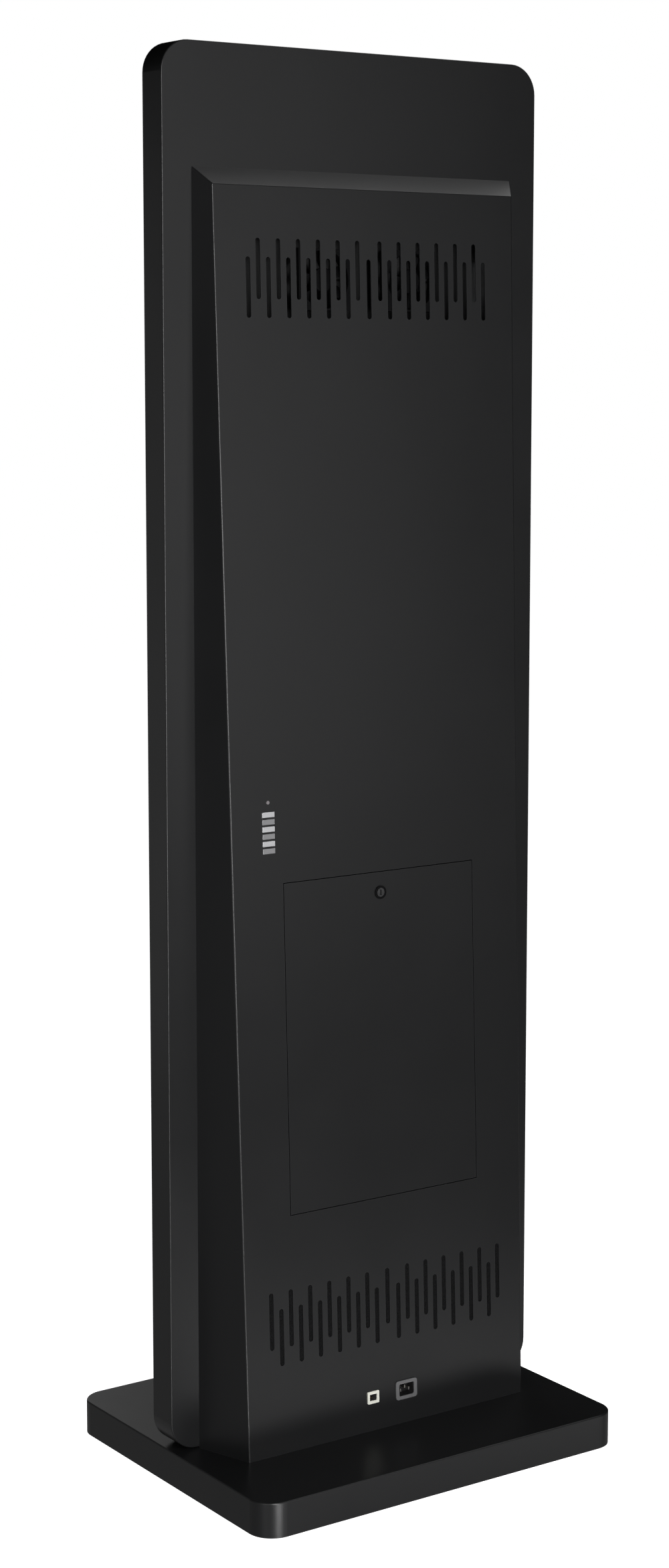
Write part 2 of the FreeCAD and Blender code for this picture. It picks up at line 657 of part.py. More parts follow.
def make_panel_rails():
    """Two folded channels across the tray that hold the backlight unit off its floor."""
    rails = []
    for index, row in enumerate(("-1", "1")):
        low = f"panel_middle + {row} * panel_height / 4 - rail_height / 2"
        depth = "tray_floor - light_back"
        solid = block(f"rail_{index}", "panel_width - 20", depth, "rail_height", "0", "light_back", low)
        hollow = block(f"rail_hollow_{index}", "panel_width", depth, "rail_height - 2 * rail_wall", "0",
                       "light_back - rail_wall", f"{low} + rail_wall")
        holes = [level_rod(f"rail_hole_{index}_{spot}", "hole_radius", "10", x, "tray_floor - 5", z)
                 for spot, (x, z) in enumerate(rail_screw_places()) if row + " " in z]
        rails.append(cut(f"rail_channel_{index}", solid, [hollow] + holes))
    node(group("rails", rails), "panel_rails")
    screws = []
    for spot, (x, z) in enumerate(rail_screw_places()):
        head = level_rod(f"rail_screw_head_{spot}", "4", "2.4", x, "tray_floor - rail_wall - 2.4", z)
        shank = level_rod(f"rail_screw_shank_{spot}", "screw_radius", "rail_wall + slab_wall", x,
                          "tray_floor - rail_wall", z)
        screws.append(fuse(f"rail_screw_{spot}", [head, shank]))
    node(group("rail_screw_group", screws), "rail_screws")


# ---------------------------------------------------------------- rear housing

HOUSING_SCREW_ROWS = ("120", "520", "920", "1320", "1680")


def wedge(name, skin, overrun):
    """The housing's outer form made smaller by a skin, run past its open sides by an overrun."""
    body = doc.addObject("PartDesign::Body", name)
    wedge_back = f"slab_back + root_depth - {skin}"
    sections = []
    for end, rise in (("root", f"(0 - {overrun})"), ("crown", f"(housing_top - base_height + {overrun})")):
        sketch = new_sketch(body, f"{name}_{end}", "XY_Plane", f"base_height + {rise}")
        front = f"slab_back - {overrun}"
        half = f"(housing_width / 2 - {skin})"
        back_half = f"({half} - root_inset + (root_inset - top_inset) * {rise} / face_run)"
        back = f"({wedge_back} - (root_depth - top_depth) * {rise} / face_run)"
        past_half = f"({half} + reach * ({back_half} - {half}))"
        past_back = f"{front} + reach * ({back} - ({front}))"
        outline(sketch, [(f"-{half}", front), (half, front), (past_half, past_back), (f"-{past_half}", past_back)])
        sections.append(sketch)
    loft = body.newObject("PartDesign::AdditiveLoft", name + "_loft")
    loft.Profile = sections[0]
    loft.Sections = [sections[1]]
    loft.Ruled = True
    doc.recompute()
    rear = new_sketch(body, name + "_rear", "YZ_Plane")
    fall = "(root_depth - top_depth) / face_run"
    outline(rear, [(f"{wedge_back} + base_height * {fall}", "0"),
                   (f"{wedge_back} - (total_height - base_height) * {fall}", "total_height"),
                   ("slab_back + 3 * root_depth", "total_height"), ("slab_back + 3 * root_depth", "0")])
    shaved = pocket(body, rear, "2 * housing_width")
    shaved.Midplane = True
    doc.recompute()
    slope = "bevel_drop / top_depth"
    top = f"(housing_top - {skin} / cos(atan({slope})))"
    crown = new_sketch(body, name + "_bevel", "YZ_Plane")
    before, beyond = "(slab_back - 20)", "(slab_back + 200)"
    outline(crown, [(before, f"{top} + 20 * {slope}"), (beyond, f"{top} - 200 * {slope}"),
                    (beyond, "total_height + 300"), (before, "total_height + 300")])
    cutter = pocket(body, crown, "2 * housing_width")
    cutter.Midplane = True
    doc.recompute()
    return body, cutter


def make_rear_housing():
    """Wedge-shaped sheet housing with its flanges, vents and openings."""
    outer, block_end = wedge("housing_outer", "0", "0")
    against, low = number("slab_back") + 1, number("base_height") + 1
    round_edges(outer, block_end, "housing_edge",
                lambda edge: edge.BoundBox.YMax > against and edge.BoundBox.ZMax > low)
    inner, hollow_end = wedge("housing_inner", "sheet", "1")
    shell = cut("housing_shell", outer, [inner])
    flanges = [block(f"flange_{side}", "18", "sheet", "housing_shoulder - base_height - 30",
                     f"{sign} * housing_screw_place", "slab_back", "base_height + 10")
               for side, sign in SIDES]
    joined = fuse("housing_joined", [shell] + flanges)
    doc.recompute()
    body = new_body("rear_housing")
    body.BaseFeature = joined
    doc.recompute()
    holes = new_sketch(body, "flange_holes", "XZ_Plane", "-slab_back")
    for side, sign in SIDES:
        for height in HOUSING_SCREW_ROWS:
            circle(holes, "hole_radius", f"{sign} * housing_screw_place", height)
    pocket(body, holes, "sheet")
    cut_openings(body)
    for vent, middle, sign in (("low", "low_vent", "1"), ("high", "high_vent", "-1")):
        cut_vent(body, vent, middle, sign)


def face_sketch(body, name):
    """A sketch one sheet outside the tilted rear face: x across, y up the face from the base."""
    sketch = new_sketch(body, name, "XZ_Plane")
    sketch.AttachmentOffset = FreeCAD.Placement(V(0, 0, 0), FreeCAD.Rotation(V(1, 0, 0), 1))
    bind(sketch, AttachmentOffset__Base__y="base_height + sheet * sin(tilt)",
         AttachmentOffset__Base__z="-face_root - sheet * cos(tilt)", AttachmentOffset__Rotation__Angle="tilt")
    return sketch


def cut_openings(body):
    """Door opening, key windows, indicator hole and the cut-outs for the inlet and the jack."""
    openings = face_sketch(body, "openings")
    rectangle(openings, "door_width + 2 * door_gap", "door_height + 2 * door_gap", "0",
              "door_root + door_height / 2")
    for key in range(6):
        rectangle(openings, "key_width + 2 * key_gap", "key_height + 2 * key_gap", "key_place",
                  f"key_root + {key} * key_pitch")
    circle(openings, "lens_radius + key_gap", "key_place", "lens_height")
    rectangle(openings, "inlet_width - 6", "inlet_height - 6", "-port_place", "port_root")
    rectangle(openings, "jack_width - 3", "jack_height - 3", "port_place", "port_root")
    pocket(body, openings, "4 * sheet", along=True)


def cut_vent(body, vent, middle, sign):
    """A field of upright slots: every other one is higher, and the middle pair stands wider apart."""
    high = f"({middle} + {sign} * slot_stagger / 2)"
    low = f"({middle} - {sign} * slot_stagger / 2)"
    slot_feature(body, f"{vent}_middle", "0", high)
    for side in ("1", "-1"):
        for series, first, level in (("odd", "slot_middle", low), ("even", "slot_middle + slot_pitch", high)):
            name = f"{vent}_{series}_{'left' if side == '1' else 'right'}"
            slot = slot_feature(body, name, f"{side} * ({first})", level)
            pattern = body.newObject("PartDesign::LinearPattern", name + "_row")
            pattern.Originals = [slot]
            pattern.Direction = (slot.Profile[0], ["H_Axis"])
            pattern.Reversed = side == "-1"
            bind(pattern, Length="10 * slot_pitch")
            pattern.Occurrences = 6
            pattern.Refine = False
            body.Tip = pattern
            doc.recompute()


def slot_feature(body, name, x, up):
    """One slot with round ends through the rear face."""
    sketch = upright_slot(face_sketch(body, name), "slot_width", "slot_length", x, up)
    return pocket(body, sketch, "4 * sheet", along=True)


def make_housing_screws():
    """Screws from inside the tray into the housing's flanges."""
    screws = []
    for side, sign in SIDES:
        for row, height in enumerate(HOUSING_SCREW_ROWS):
            name = f"housing_screw_{side}_{row}"
            x = f"{sign} * housing_screw_place"
            head = level_rod(name + "_head", "4", "2.4", x, "tray_floor - 2.4", height)
            shank = level_rod(name + "_shank", "screw_radius", "slab_wall + sheet + 2", x, "tray_floor", height)
            screws.append(fuse(name, [head, shank]))
    node(group("housing_screw_group", screws), "housing_screws")


def make_intake_filter():
    """Foam filter inside the lower vent."""
    wide = "slot_middle * 2 + 22 * slot_pitch + slot_width + 2 * foam_lap"
    high = "slot_length + slot_stagger + slot_width + 2 * foam_lap"
    pane = face_block("filter_pane", wide, "6", high, "0", "-sheet - 6", "low_vent")
    node(pane, "intake_filter")


# ---------------------------------------------------------------- service door

def door_body(label):
    """A body built upright in the face frame and tilted with the face."""
    body = new_body(label)
    on_face(body)
    return body


def make_service_door():
    """Flush sheet door with a folded edge down each side and a hole for the lock."""
    body = door_body("service_door")
    middle = "door_root + door_height / 2"
    pad(body, rectangle(new_sketch(body, "door_sheet", "XZ_Plane"), "door_width", "door_height", "0", middle),
        "sheet")
    returns = new_sketch(body, "door_returns", "XZ_Plane", "sheet")
    for side, sign in SIDES:
        rectangle(returns, "sheet", "door_height - 60", f"{sign} * (door_width - sheet) / 2", middle)
    pad(body, returns, "door_return - sheet")
    hole = circle(new_sketch(body, "lock_hole", "XZ_Plane"), "lock_barrel_radius + 0.2", "0", "lock_height")
    pocket(body, hole, "sheet", along=True)


def make_hinges():
    """Two concealed swan-neck hinges: arms on the door, eared brackets in the housing, and their pins."""
    arms = []
    brackets = []
    pins = []
    for side, sign in SIDES:
        arms.append(hinge_arm(side, f"{sign} * hinge_place"))
        brackets.append(hinge_bracket(side, f"{sign} * hinge_place"))
        pins.append(cross_rod(f"hinge_pin_{side}", "pin_radius", "arm_width + 10", f"{sign} * hinge_place"))
    node(group("arms", arms), "hinge_arms")
    node(group("brackets", brackets), "hinge_brackets")
    node(group("pins", pins), "hinge_pins")


def cross_rod(name, radius, length, x):
    """A cylinder along X on the hinge axis, centred on x."""
    cylinder = doc.addObject("Part::Cylinder", name)
    cylinder.Placement = FreeCAD.Placement(V(0, 0, 0), FreeCAD.Rotation(V(0, 1, 0), 90))
    bind(cylinder, Radius=radius, Height=length)
    place(cylinder, f"({x}) - ({length}) / 2", "face_root - hinge_inset * cos(tilt) - axis_height * sin(tilt)",
          "base_height - hinge_inset * sin(tilt) + axis_height * cos(tilt)")
    return cylinder


def hinge_block(name, wide, x, out, up, deep, high):
    """A box placed from the hinge axis: out and up are its inner side and its underside."""
    return face_block(name, wide, deep, high, x, f"-hinge_inset + {out}", f"axis_height + {up} + ({high}) / 2")


def hinge_arm(side, x):
    """One arm: an eye on the pin, then inwards, up behind the door's edge, and out to the door."""
    name = "arm_" + side
    inner_face = "(hinge_inset - sheet)"
    eye = cross_rod(name + "_eye", "pin_radius + 1.5", "arm_width", x)
    foot = hinge_block(name + "_foot", "arm_width", x, "-arm_reach", "-arm_thick / 2", "arm_reach", "arm_thick")
    back = hinge_block(name + "_back", "arm_width", x, "-arm_reach", "-arm_thick / 2", "arm_thick",
                       "arm_rise + arm_thick / 2")
    top = hinge_block(name + "_top", "arm_width", x, "-arm_reach", "arm_rise - arm_thick",
                      f"arm_reach + {inner_face}", "arm_thick")
    leaf = hinge_block(name + "_leaf", "arm_width", x, f"{inner_face} - arm_thick", "arm_rise - arm_thick",
                       "arm_thick", "18")
    bore = cross_rod(name + "_bore", "pin_radius + pin_fit", "arm_width + 2", x)
    return cut(name, fuse(name + "_solid", [eye, foot, back, top, leaf]), [bore])


def hinge_bracket(side, x):
    """One bracket: a leaf on the housing below the door and two ears that hold the pin."""
    name = "bracket_" + side
    inner_face = "(hinge_inset - sheet)"
    leaf = hinge_block(name + "_leaf", "arm_width + 6", x, f"{inner_face} - 2", "-28", "2", "20")
    ears = [hinge_block(f"{name}_ear_{end}", "2", f"{x} + {end} * (arm_width / 2 + 2)", "-4", "-28",
                        f"{inner_face} + 4", "32") for end in ("1", "-1")]
    bore = cross_rod(name + "_bore", "pin_radius + 0.02", "arm_width + 12", x)
    return cut(name, fuse(name + "_solid", [leaf] + ears), [bore])


def make_lock():
    """Cam lock: ringed barrel, its nut, the turning plug with a key slot, the cam and the cam's screw."""
    at = ("0", "lock_height")
    ring = face_rod("lock_ring", "lock_flange", "port_proud", at[0], "0", at[1])
    barrel = face_rod("lock_tube", "lock_barrel_radius", "lock_depth", at[0], "-lock_depth", at[1])
    bore = face_rod("lock_bore", "plug_radius + plug_fit", "lock_depth + port_proud", at[0], "-lock_depth", at[1])
    node(cut("lock_body", fuse("lock_solid", [ring, barrel]), [bore]), "lock_barrel")

    nut = doc.addObject("Part::Prism", "lock_nut_solid")
    nut.Polygon = 6
    bind(nut, Circumradius="13", Height="3.5")
    on_axis(nut, at[0], "-sheet - 3.5", at[1])
    thread = face_rod("lock_nut_bore", "lock_barrel_radius + 0.1", "3.5", at[0], "-sheet - 3.5", at[1])
    node(cut("lock_nut_cut", nut, [thread]), "lock_nut")

    length = "(cam_front + cam_thick)"
    plug = face_rod("plug_rod", "plug_radius", "lock_depth + port_proud - 0.3", at[0], "-lock_depth", at[1])
    tail = face_block("plug_tail", "6", f"{length} - lock_depth", "6", at[0], f"0 - {length}", at[1])
    slot = face_block("plug_slot", "1.6", "6", "7.5", at[0], "port_proud - 6", at[1])
    node(cut("plug", fuse("plug_solid", [plug, tail]), [slot]), "lock_plug")

    strip = face_block("cam_strip", "cam_length + cam_width / 2", "cam_thick", "cam_width",
                       "(cam_length - cam_width / 2) / 2", f"0 - {length}", at[1])
    square = face_block("cam_square", "6.2", "cam_thick", "6.2", at[0], f"0 - {length}", at[1])
    node(cut("cam", strip, [square]), "lock_cam")
    node(face_rod("cam_screw_head", "5.5", "2.6", at[0], f"0 - {length} - 2.6", at[1]), "cam_screw")


def make_lock_strike():
    """Angle welded inside the housing above the door, whose edge the cam turns behind."""
    low = "door_top + door_gap"
    leaf = face_block("strike_leaf", "70", "sheet", "22", "0", "-2 * sheet", f"{low} + 11")
    tongue = face_block("strike_tongue", "70", "cam_front - 0.6 - sheet", "sheet", "0", "-cam_front + 0.6",
                        f"{low} + sheet / 2")
    node(fuse("strike", [leaf, tongue]), "lock_strike")


# ---------------------------------------------------------------- keys and indicator

def make_keys():
    """Six caps, each with a lip behind the sheet and a stem over its switch, and the board they work."""
    switches = []
    for key in range(6):
        up = f"key_root + {key} * key_pitch"
        cap = face_block(f"cap_{key}", "key_width", "key_proud + sheet + 0.3", "key_height", "key_place",
                         "-sheet - 0.3", up)
        lip = face_block(f"lip_{key}", "key_width + 2.4", "1.2", "key_height + 2", "key_place", "-sheet - 1.5", up)
        stem = face_block(f"stem_{key}", "4", "sheet", "4", "key_place", "-2 * sheet - 1.5", up)
        node(fuse(f"key_solid_{key}", [cap, lip, stem]), f"key_{key + 1}")
        switches.append(face_block(f"switch_{key}", "6", "3.4", "6", "key_place", "-board_front", up))
    board = face_block("key_pcb", "30", "1.6", "96", "key_place", "-board_front - 1.6",
                       "key_root + 2.5 * key_pitch + 6")
    node(fuse("key_board_solid", [board] + switches), "key_board")
    posts = [face_rod(f"board_post_{end}", "2.5", "board_front - sheet", "key_place", "-board_front",
                      f"key_root + 2.5 * key_pitch + 6 + {end} * 44") for end in ("1", "-1")]
    node(group("board_post_group", posts), "board_posts")
    lens = face_rod("lens_rod", "lens_radius", "sheet + 0.8", "key_place", "-sheet - 0.3", "lens_height")
    rim = face_rod("lens_rim", "lens_radius + 1.2", "1.2", "key_place", "-sheet - 1.5", "lens_height")
    node(fuse("lens", [lens, rim]), "indicator_lens")


# ---------------------------------------------------------------- inlet and jack

def socket(label, x, wide, high, margin, mouth_wide, mouth_high, depth, radius):
    """A panel socket: round-cornered bezel outside, body through the sheet, open mouth."""
    body = door_body(label)
    bezel = rounded(new_sketch(body, label + "_bezel", "XZ_Plane"), wide, high, radius, x, "port_root")
    pad(body, bezel, "port_proud", backwards=True)
    core = rectangle(new_sketch(body, label + "_core", "XZ_Plane"), f"{wide} - {margin} - 0.6",
                     f"{high} - {margin} - 0.6", x, "port_root")
    pad(body, core, depth)
    mouth = rounded(new_sketch(body, label + "_mouth", "XZ_Plane", "-port_proud"), mouth_wide, mouth_high,
                    f"{radius} / 2", x, "port_root")
    pocket(body, mouth, f"port_proud + {depth} - 3", along=True)
    return body


def make_ports():
    """Mains inlet with three blades and network jack with eight contacts."""
    socket("power_inlet", "-port_place", "inlet_width", "inlet_height", "6", "inlet_mouth_width",
           "inlet_mouth_height", "inlet_depth", "4")
    blades = [face_block(f"blade_{index}", "2", "12", "4", f"-port_place + {across}", "-inlet_depth + 3",
                         f"port_root + {rise}")
              for index, (across, rise) in enumerate((("-7", "-1.5"), ("0", "2.5"), ("7", "-1.5")))]
    node(group("blades", blades), "inlet_blades")
    socket("network_jack", "port_place", "jack_width", "jack_height", "3", "jack_mouth_width",
           "jack_mouth_height", "jack_depth", "1.6")
    contacts = [face_block(f"contact_{index}", "0.5", "9", "0.5", f"port_place + {index} * 1.02 - 3.57",
                           "-jack_depth + 3", "port_root - jack_mouth_height / 2 + 1.2") for index in range(8)]
    node(group("contacts", contacts), "jack_contacts")


# ---------------------------------------------------------------- electronics

def make_electronics():
    """Folded plate on the back of the tray behind the door, with supply, player and display driver."""
    plate = block("plate_web", "bay_width", "sheet", "bay_height", "0", "electronics_back - sheet", "bay_root")
    feet = [block(f"plate_foot_{side}", "sheet", "tray_foot", "bay_height",
                  f"{sign} * (bay_width - sheet) / 2", "slab_back", "bay_root") for side, sign in SIDES]
    node(fuse("plate_solid", [plate] + feet), "electronics_plate")

    seat = "electronics_back + standoff"
    supply = block("supply_case", "200", "30", "100", "20", seat, "bay_root + 15")
    grooves = [block(f"supply_slot_{index}", "3", "4", "70", f"-50 + {index} * 10", f"{seat} + 26.5",
                     "bay_root + 30") for index in range(14)]
    node(cut("supply", supply, grooves), "power_supply")
    case = block("player_case", "180", "26", "120", "0", seat, "bay_root + 140")
    fins = [block(f"player_fin_{index}", "2", "3", "110", f"-80 + {index} * 10", f"{seat} + 26", "bay_root + 145")
            for index in range(17)]
    node(fuse("player", [case] + fins), "media_player")
    board = block("driver_pcb", "160", "1.6", "90", "0", seat, "bay_root + 290")
    chips = [block(f"driver_chip_{index}", wide, "4", high, x, f"{seat} + 1.6", z)
             for index, (wide, high, x, z) in enumerate((("30", "30", "-20", "bay_root + 320"),
                                                         ("50", "8", "30", "bay_root + 368"),
                                                         ("12", "40", "66", "bay_root + 310")))]
    node(fuse("driver", [board] + chips), "driver_board")
    pads = [level_rod(f"standoff_{index}", "3", "standoff", x, "electronics_back", z)
            for index, (x, z) in enumerate(
                [(f"20 + {side} * 90", f"bay_root + 65 + {end} * 40") for side, end in QUARTERS]
                + [(f"{side} * 80", f"bay_root + 200 + {end} * 50") for side, end in QUARTERS]
                + [(f"{side} * 74", f"bay_root + 335 + {end} * 38") for side, end in QUARTERS])]
    node(group("standoffs", pads), "board_spacers")


def make_speakers():
    """Two boxed loudspeakers on the back of the tray, facing the lower vent."""
    boxes = []
    cones = []
    for side, sign in SIDES:
        x = f"{sign} * 110"
        box = block(f"speaker_box_{side}", "70", "32", "110", x, "slab_back", "150")
        well = level_rod(f"speaker_well_{side}", "28", "10", x, "slab_back + 23", "205")
        boxes.append(cut(f"speaker_shell_{side}", box, [well]))
        cone = doc.addObject("Part::Cone", f"speaker_cone_{side}")
        cone.Placement = FreeCAD.Placement(V(0, 0, 0), FreeCAD.Rotation(V(1, 0, 0), -90))
        bind(cone, Radius1="12", Radius2="27", Height="7")
        place(cone, x, "slab_back + 23", "205")
        cones.append(cone)
    node(group("speaker_boxes_group", boxes), "speaker_boxes")
    node(group("speaker_cones_group", cones), "speaker_cones")


# ---------------------------------------------------------------- fans

def fan_frame(side, x):
    """Square frame with a round duct and a bearing boss on four spokes at its inner side."""
    name = "fan_" + side
    back = "-sheet - fan_depth"
    square = face_block(name + "_square", "fan_size", "fan_depth", "fan_size", x, back, "high_vent")
    duct = face_rod(name + "_duct", "fan_bore", "fan_depth", x, back, "high_vent")
    ring = cut(name + "_ring", square, [duct])
    boss = face_rod(name + "_boss", "hub_radius", "2", x, back, "high_vent")
    level = face_block(name + "_level", "fan_size - 2", "2", "3", x, back, "high_vent")
    upright = face_block(name + "_upright", "3", "2", "fan_size - 2", x, back, "high_vent")
    bearing = face_rod(name + "_bearing", "4", "6", x, back, "high_vent")
    bore = face_rod(name + "_shaft_bore", "1.5 + 0.06", "6", x, f"{back} + 1", "high_vent")
    return cut(name + "_frame", fuse(name + "_solid", [ring, boss, level, upright, bearing]), [bore])


def fan_rotor(side, x):
    """Cup-shaped hub on a shaft with seven raked blades, in a body whose Z is the fan's axis."""
    body = new_body("fan_rotor_" + side)
    on_axis(body, x, "-sheet - fan_depth + 3", "high_vent")
    hub = circle(new_sketch(body, f"hub_{side}", "XY_Plane"), "hub_radius")
    pad(body, hub, "fan_depth - 5")
    cup = circle(new_sketch(body, f"cup_{side}", "XY_Plane"), "hub_radius - 2")
    pocket(body, cup, "fan_depth - 7", along=True)
    shaft = circle(new_sketch(body, f"shaft_{side}", "XY_Plane", "-1"), "1.5")
    pad(body, shaft, "fan_depth - 5")
    blade = new_sketch(body, f"blade_{side}", "YZ_Plane", "hub_radius - 1")
    outline(blade, [("-7", "1"), ("-5.6", "1"), ("7", "fan_depth - 6"), ("5.6", "fan_depth - 6")])
    wing = pad(body, blade, "fan_bore - hub_radius")
    ring = body.newObject("PartDesign::PolarPattern", f"blades_{side}")
    ring.Originals = [wing]
    ring.Axis = (hub, ["N_Axis"])
    ring.Angle = 360
    ring.Occurrences = 7
    body.Tip = ring
    doc.recompute()


def make_fans():
    """Two slim fans behind the upper vent, each frame fixed by four screws."""
    node(group("fan_frame_group", [fan_frame(side, f"{sign} * fan_place") for side, sign in SIDES]), "fan_frames")
    for side, sign in SIDES:
        fan_rotor(side, f"{sign} * fan_place")


# ---------------------------------------------------------------- build and export

def check_and_export():
    """Stop on any failed object; otherwise write each sub-part under its label."""
    doc.recompute()
    for item in doc.Objects:
        if "Invalid" in item.State or "Error" in item.State:
            raise RuntimeError(f"{item.Label} failed: {item.State}")
    for item in nodes:
        if item.Shape.isNull() or not item.Shape.isValid():
            raise RuntimeError(f"{item.Label} has no valid shape")
    os.makedirs("parts", exist_ok=True)
    for item in nodes:
        item.Shape.exportStep(f"parts/{item.Label}.step")


make_base_cover()
make_base_plate()
make_feet()
make_posts()
for side, sign in SIDES:
    make_spine(side, sign)
make_spine_bolts()
make_tray_screws()
make_display_tray()
frame_plate("glass_frame", "tape_back", "frame_depth", "frame_gap")
frame_plate("glass_tape", "glass_back", "tape_thick", "glass_gap + 2")
make_cover_glass()
make_screen_stack()
make_panel_rails()
make_rear_housing()
make_housing_screws()
make_intake_filter()
make_service_door()
make_hinges()
make_lock()
make_lock_strike()
make_keys()
make_ports()
make_electronics()
make_speakers()
make_fans()
check_and_export()
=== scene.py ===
"""Looks of a floor-standing touchscreen kiosk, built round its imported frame.

It gives the frame's nodes their finishes, adds the shaped pieces that the frame only roughs out, and
sets up a plain studio. Sizes are in metres and stand in the frame's own place.
"""

import json
import math

import bmesh
import bpy
import numpy as np
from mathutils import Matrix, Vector


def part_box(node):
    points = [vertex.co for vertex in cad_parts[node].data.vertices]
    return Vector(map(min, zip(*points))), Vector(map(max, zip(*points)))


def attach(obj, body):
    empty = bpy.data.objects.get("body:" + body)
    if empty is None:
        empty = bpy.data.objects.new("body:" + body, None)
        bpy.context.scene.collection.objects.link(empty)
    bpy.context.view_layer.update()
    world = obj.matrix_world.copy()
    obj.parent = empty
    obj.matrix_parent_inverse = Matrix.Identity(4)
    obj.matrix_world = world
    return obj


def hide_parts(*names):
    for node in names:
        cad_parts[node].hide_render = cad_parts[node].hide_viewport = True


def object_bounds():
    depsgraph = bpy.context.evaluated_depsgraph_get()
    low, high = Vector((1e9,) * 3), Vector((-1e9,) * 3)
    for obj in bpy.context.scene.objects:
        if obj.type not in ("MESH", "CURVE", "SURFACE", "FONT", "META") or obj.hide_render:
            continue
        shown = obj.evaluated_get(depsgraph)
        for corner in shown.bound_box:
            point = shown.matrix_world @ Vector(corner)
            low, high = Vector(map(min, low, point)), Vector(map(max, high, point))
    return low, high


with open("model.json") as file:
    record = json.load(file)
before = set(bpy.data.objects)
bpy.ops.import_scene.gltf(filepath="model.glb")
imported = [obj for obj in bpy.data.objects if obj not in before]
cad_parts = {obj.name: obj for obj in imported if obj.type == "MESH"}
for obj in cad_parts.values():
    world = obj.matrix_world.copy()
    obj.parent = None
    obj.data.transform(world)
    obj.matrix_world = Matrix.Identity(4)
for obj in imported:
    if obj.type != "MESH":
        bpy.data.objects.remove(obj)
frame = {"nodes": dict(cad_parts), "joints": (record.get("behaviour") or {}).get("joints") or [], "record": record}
FRAME_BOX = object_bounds()

bl_info = {
    "name": "Touchscreen kiosk looks",
    "version": (1, 0, 0),
    "blender": (4, 5, 0),
    "location": "View3D > Sidebar > Kiosk",
    "description": "Finishes, shaped pieces and studio for a floor-standing touchscreen kiosk",
    "category": "Object",
}

# ---------------------------------------------------------------- places in the frame

NODES = frame["nodes"]
JOINTS = {joint["name"]: joint for joint in frame["joints"]}
SLOTS = {part["node"]: part["material_slot"] for part in frame["record"]["subparts"]}
ACROSS = np.array((1.0, 0.0, 0.0))
OUT = -np.array(JOINTS["lock_turn"]["axis"], float)
OUT /= np.linalg.norm(OUT)
UP = np.cross(ACROSS, OUT)
BACK = np.array((0.0, 1.0, 0.0))
SKY = np.array((0.0, 0.0, 1.0))
HOUSING_LOW, HOUSING_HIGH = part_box("rear_housing")
FACE_ROOT = np.array((0.0, HOUSING_HIGH.y, HOUSING_LOW.z))
SIDES = (1, -1)
MERGE = 1e-6
FULL_TURN = 2 * math.pi
HORIZON = 0.5


# ---------------------------------------------------------------- surfaces

def grid_faces(rows, columns, rows_close=False, columns_close=True):
    """Four-cornered faces between neighbouring points of a grid.

    A direction that closes joins up with its start.
    """
    down = np.arange(rows if rows_close else rows - 1)
    along = np.arange(columns if columns_close else columns - 1)
    row, column = np.meshgrid(down, along, indexing="ij")
    next_row, next_column = (row + 1) % rows, (column + 1) % columns
    corners = (row * columns + column, row * columns + next_column,
               next_row * columns + next_column, next_row * columns + column)
    return np.stack(corners, axis=-1).reshape(-1, 4)


def turned(profile, centre, axis, count, profile_closes=False):
    """A profile of (radius, rise) pairs turned about an axis.

    Each point is centre + radius (cos a U + sin a V) + rise W, with a going once round.
    """
    axis = np.asarray(axis, float)
    side = np.cross(axis, ACROSS if abs(axis[0]) < 0.9 else SKY)
    side /= np.linalg.norm(side)
    other = np.cross(axis, side)
    angle = np.arange(count) * FULL_TURN / count
    spoke = np.cos(angle)[:, None] * side + np.sin(angle)[:, None] * other
    radius, rise = np.asarray(profile, float).T
    points = np.asarray(centre, float) + radius[:, None, None] * spoke + rise[:, None, None] * axis
    return points.reshape(-1, 3), grid_faces(len(profile), count, rows_close=profile_closes)


def rounded_loop(half_wide, half_high, radius, count):
    """A rectangle with round corners as (across, up) pairs.

    A point is its corner's centre plus radius (cos a, sin a), a running through that corner's quarter turn.
    """
    quarter = np.repeat(np.arange(4), count)
    angle = (quarter + np.tile(np.linspace(0, 1, count), 4)) * math.pi / 2
    side = np.where((quarter == 0) | (quarter == 3), 1, -1)
    rise = np.where(quarter < 2, 1, -1)
    return np.stack((side * (half_wide - radius) + radius * np.cos(angle),
                     rise * (half_high - radius) + radius * np.sin(angle)), axis=-1)


def joined(forms):
    """Several (points, faces) forms as one."""
    starts = np.cumsum([0] + [len(points) for points, faces in forms[:-1]])
    return (np.concatenate([points for points, faces in forms]),
            np.concatenate([faces + start for start, (points, faces) in zip(starts, forms)]))


def new_piece(name, form, body, material, stands_for=(), crease=35.0):
    """An object from a form: doubles joined, faces outwards, smooth up to a crease angle in degrees."""
    points, faces = form
    mesh = bpy.data.meshes.new(name)
    mesh.from_pydata(points.tolist(), [], faces.tolist())
    shape = bmesh.new()
    shape.from_mesh(mesh)
    bmesh.ops.remove_doubles(shape, verts=shape.verts, dist=MERGE)
    bmesh.ops.recalc_face_normals(shape, faces=shape.faces)
    shape.to_mesh(mesh)
    shape.free()
    mesh.polygons.foreach_set("use_smooth", np.ones(len(mesh.polygons), bool))
    mesh.set_sharp_from_angle(angle=math.radians(crease))
    mesh.materials.append(material)
    piece = bpy.data.objects.new(name, mesh)
    bpy.context.scene.collection.objects.link(piece)
    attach(piece, body)
    if stands_for:
        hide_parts(*stands_for)
    return piece


def soften(node, radius, segments=2, angle=40.0):
    """Round a node's edges: a Weld joins its triangles, then a Bevel rounds edges sharper than an angle."""
    piece = NODES[node]
    weld = piece.modifiers.new("weld", "WELD")
    weld.merge_threshold = MERGE
    bevel = piece.modifiers.new("soft_edges", "BEVEL")
    bevel.width = radius
    bevel.segments = segments
    bevel.limit_method = "ANGLE"
    bevel.angle_limit = math.radians(angle)
    bevel.harden_normals = True
    return piece


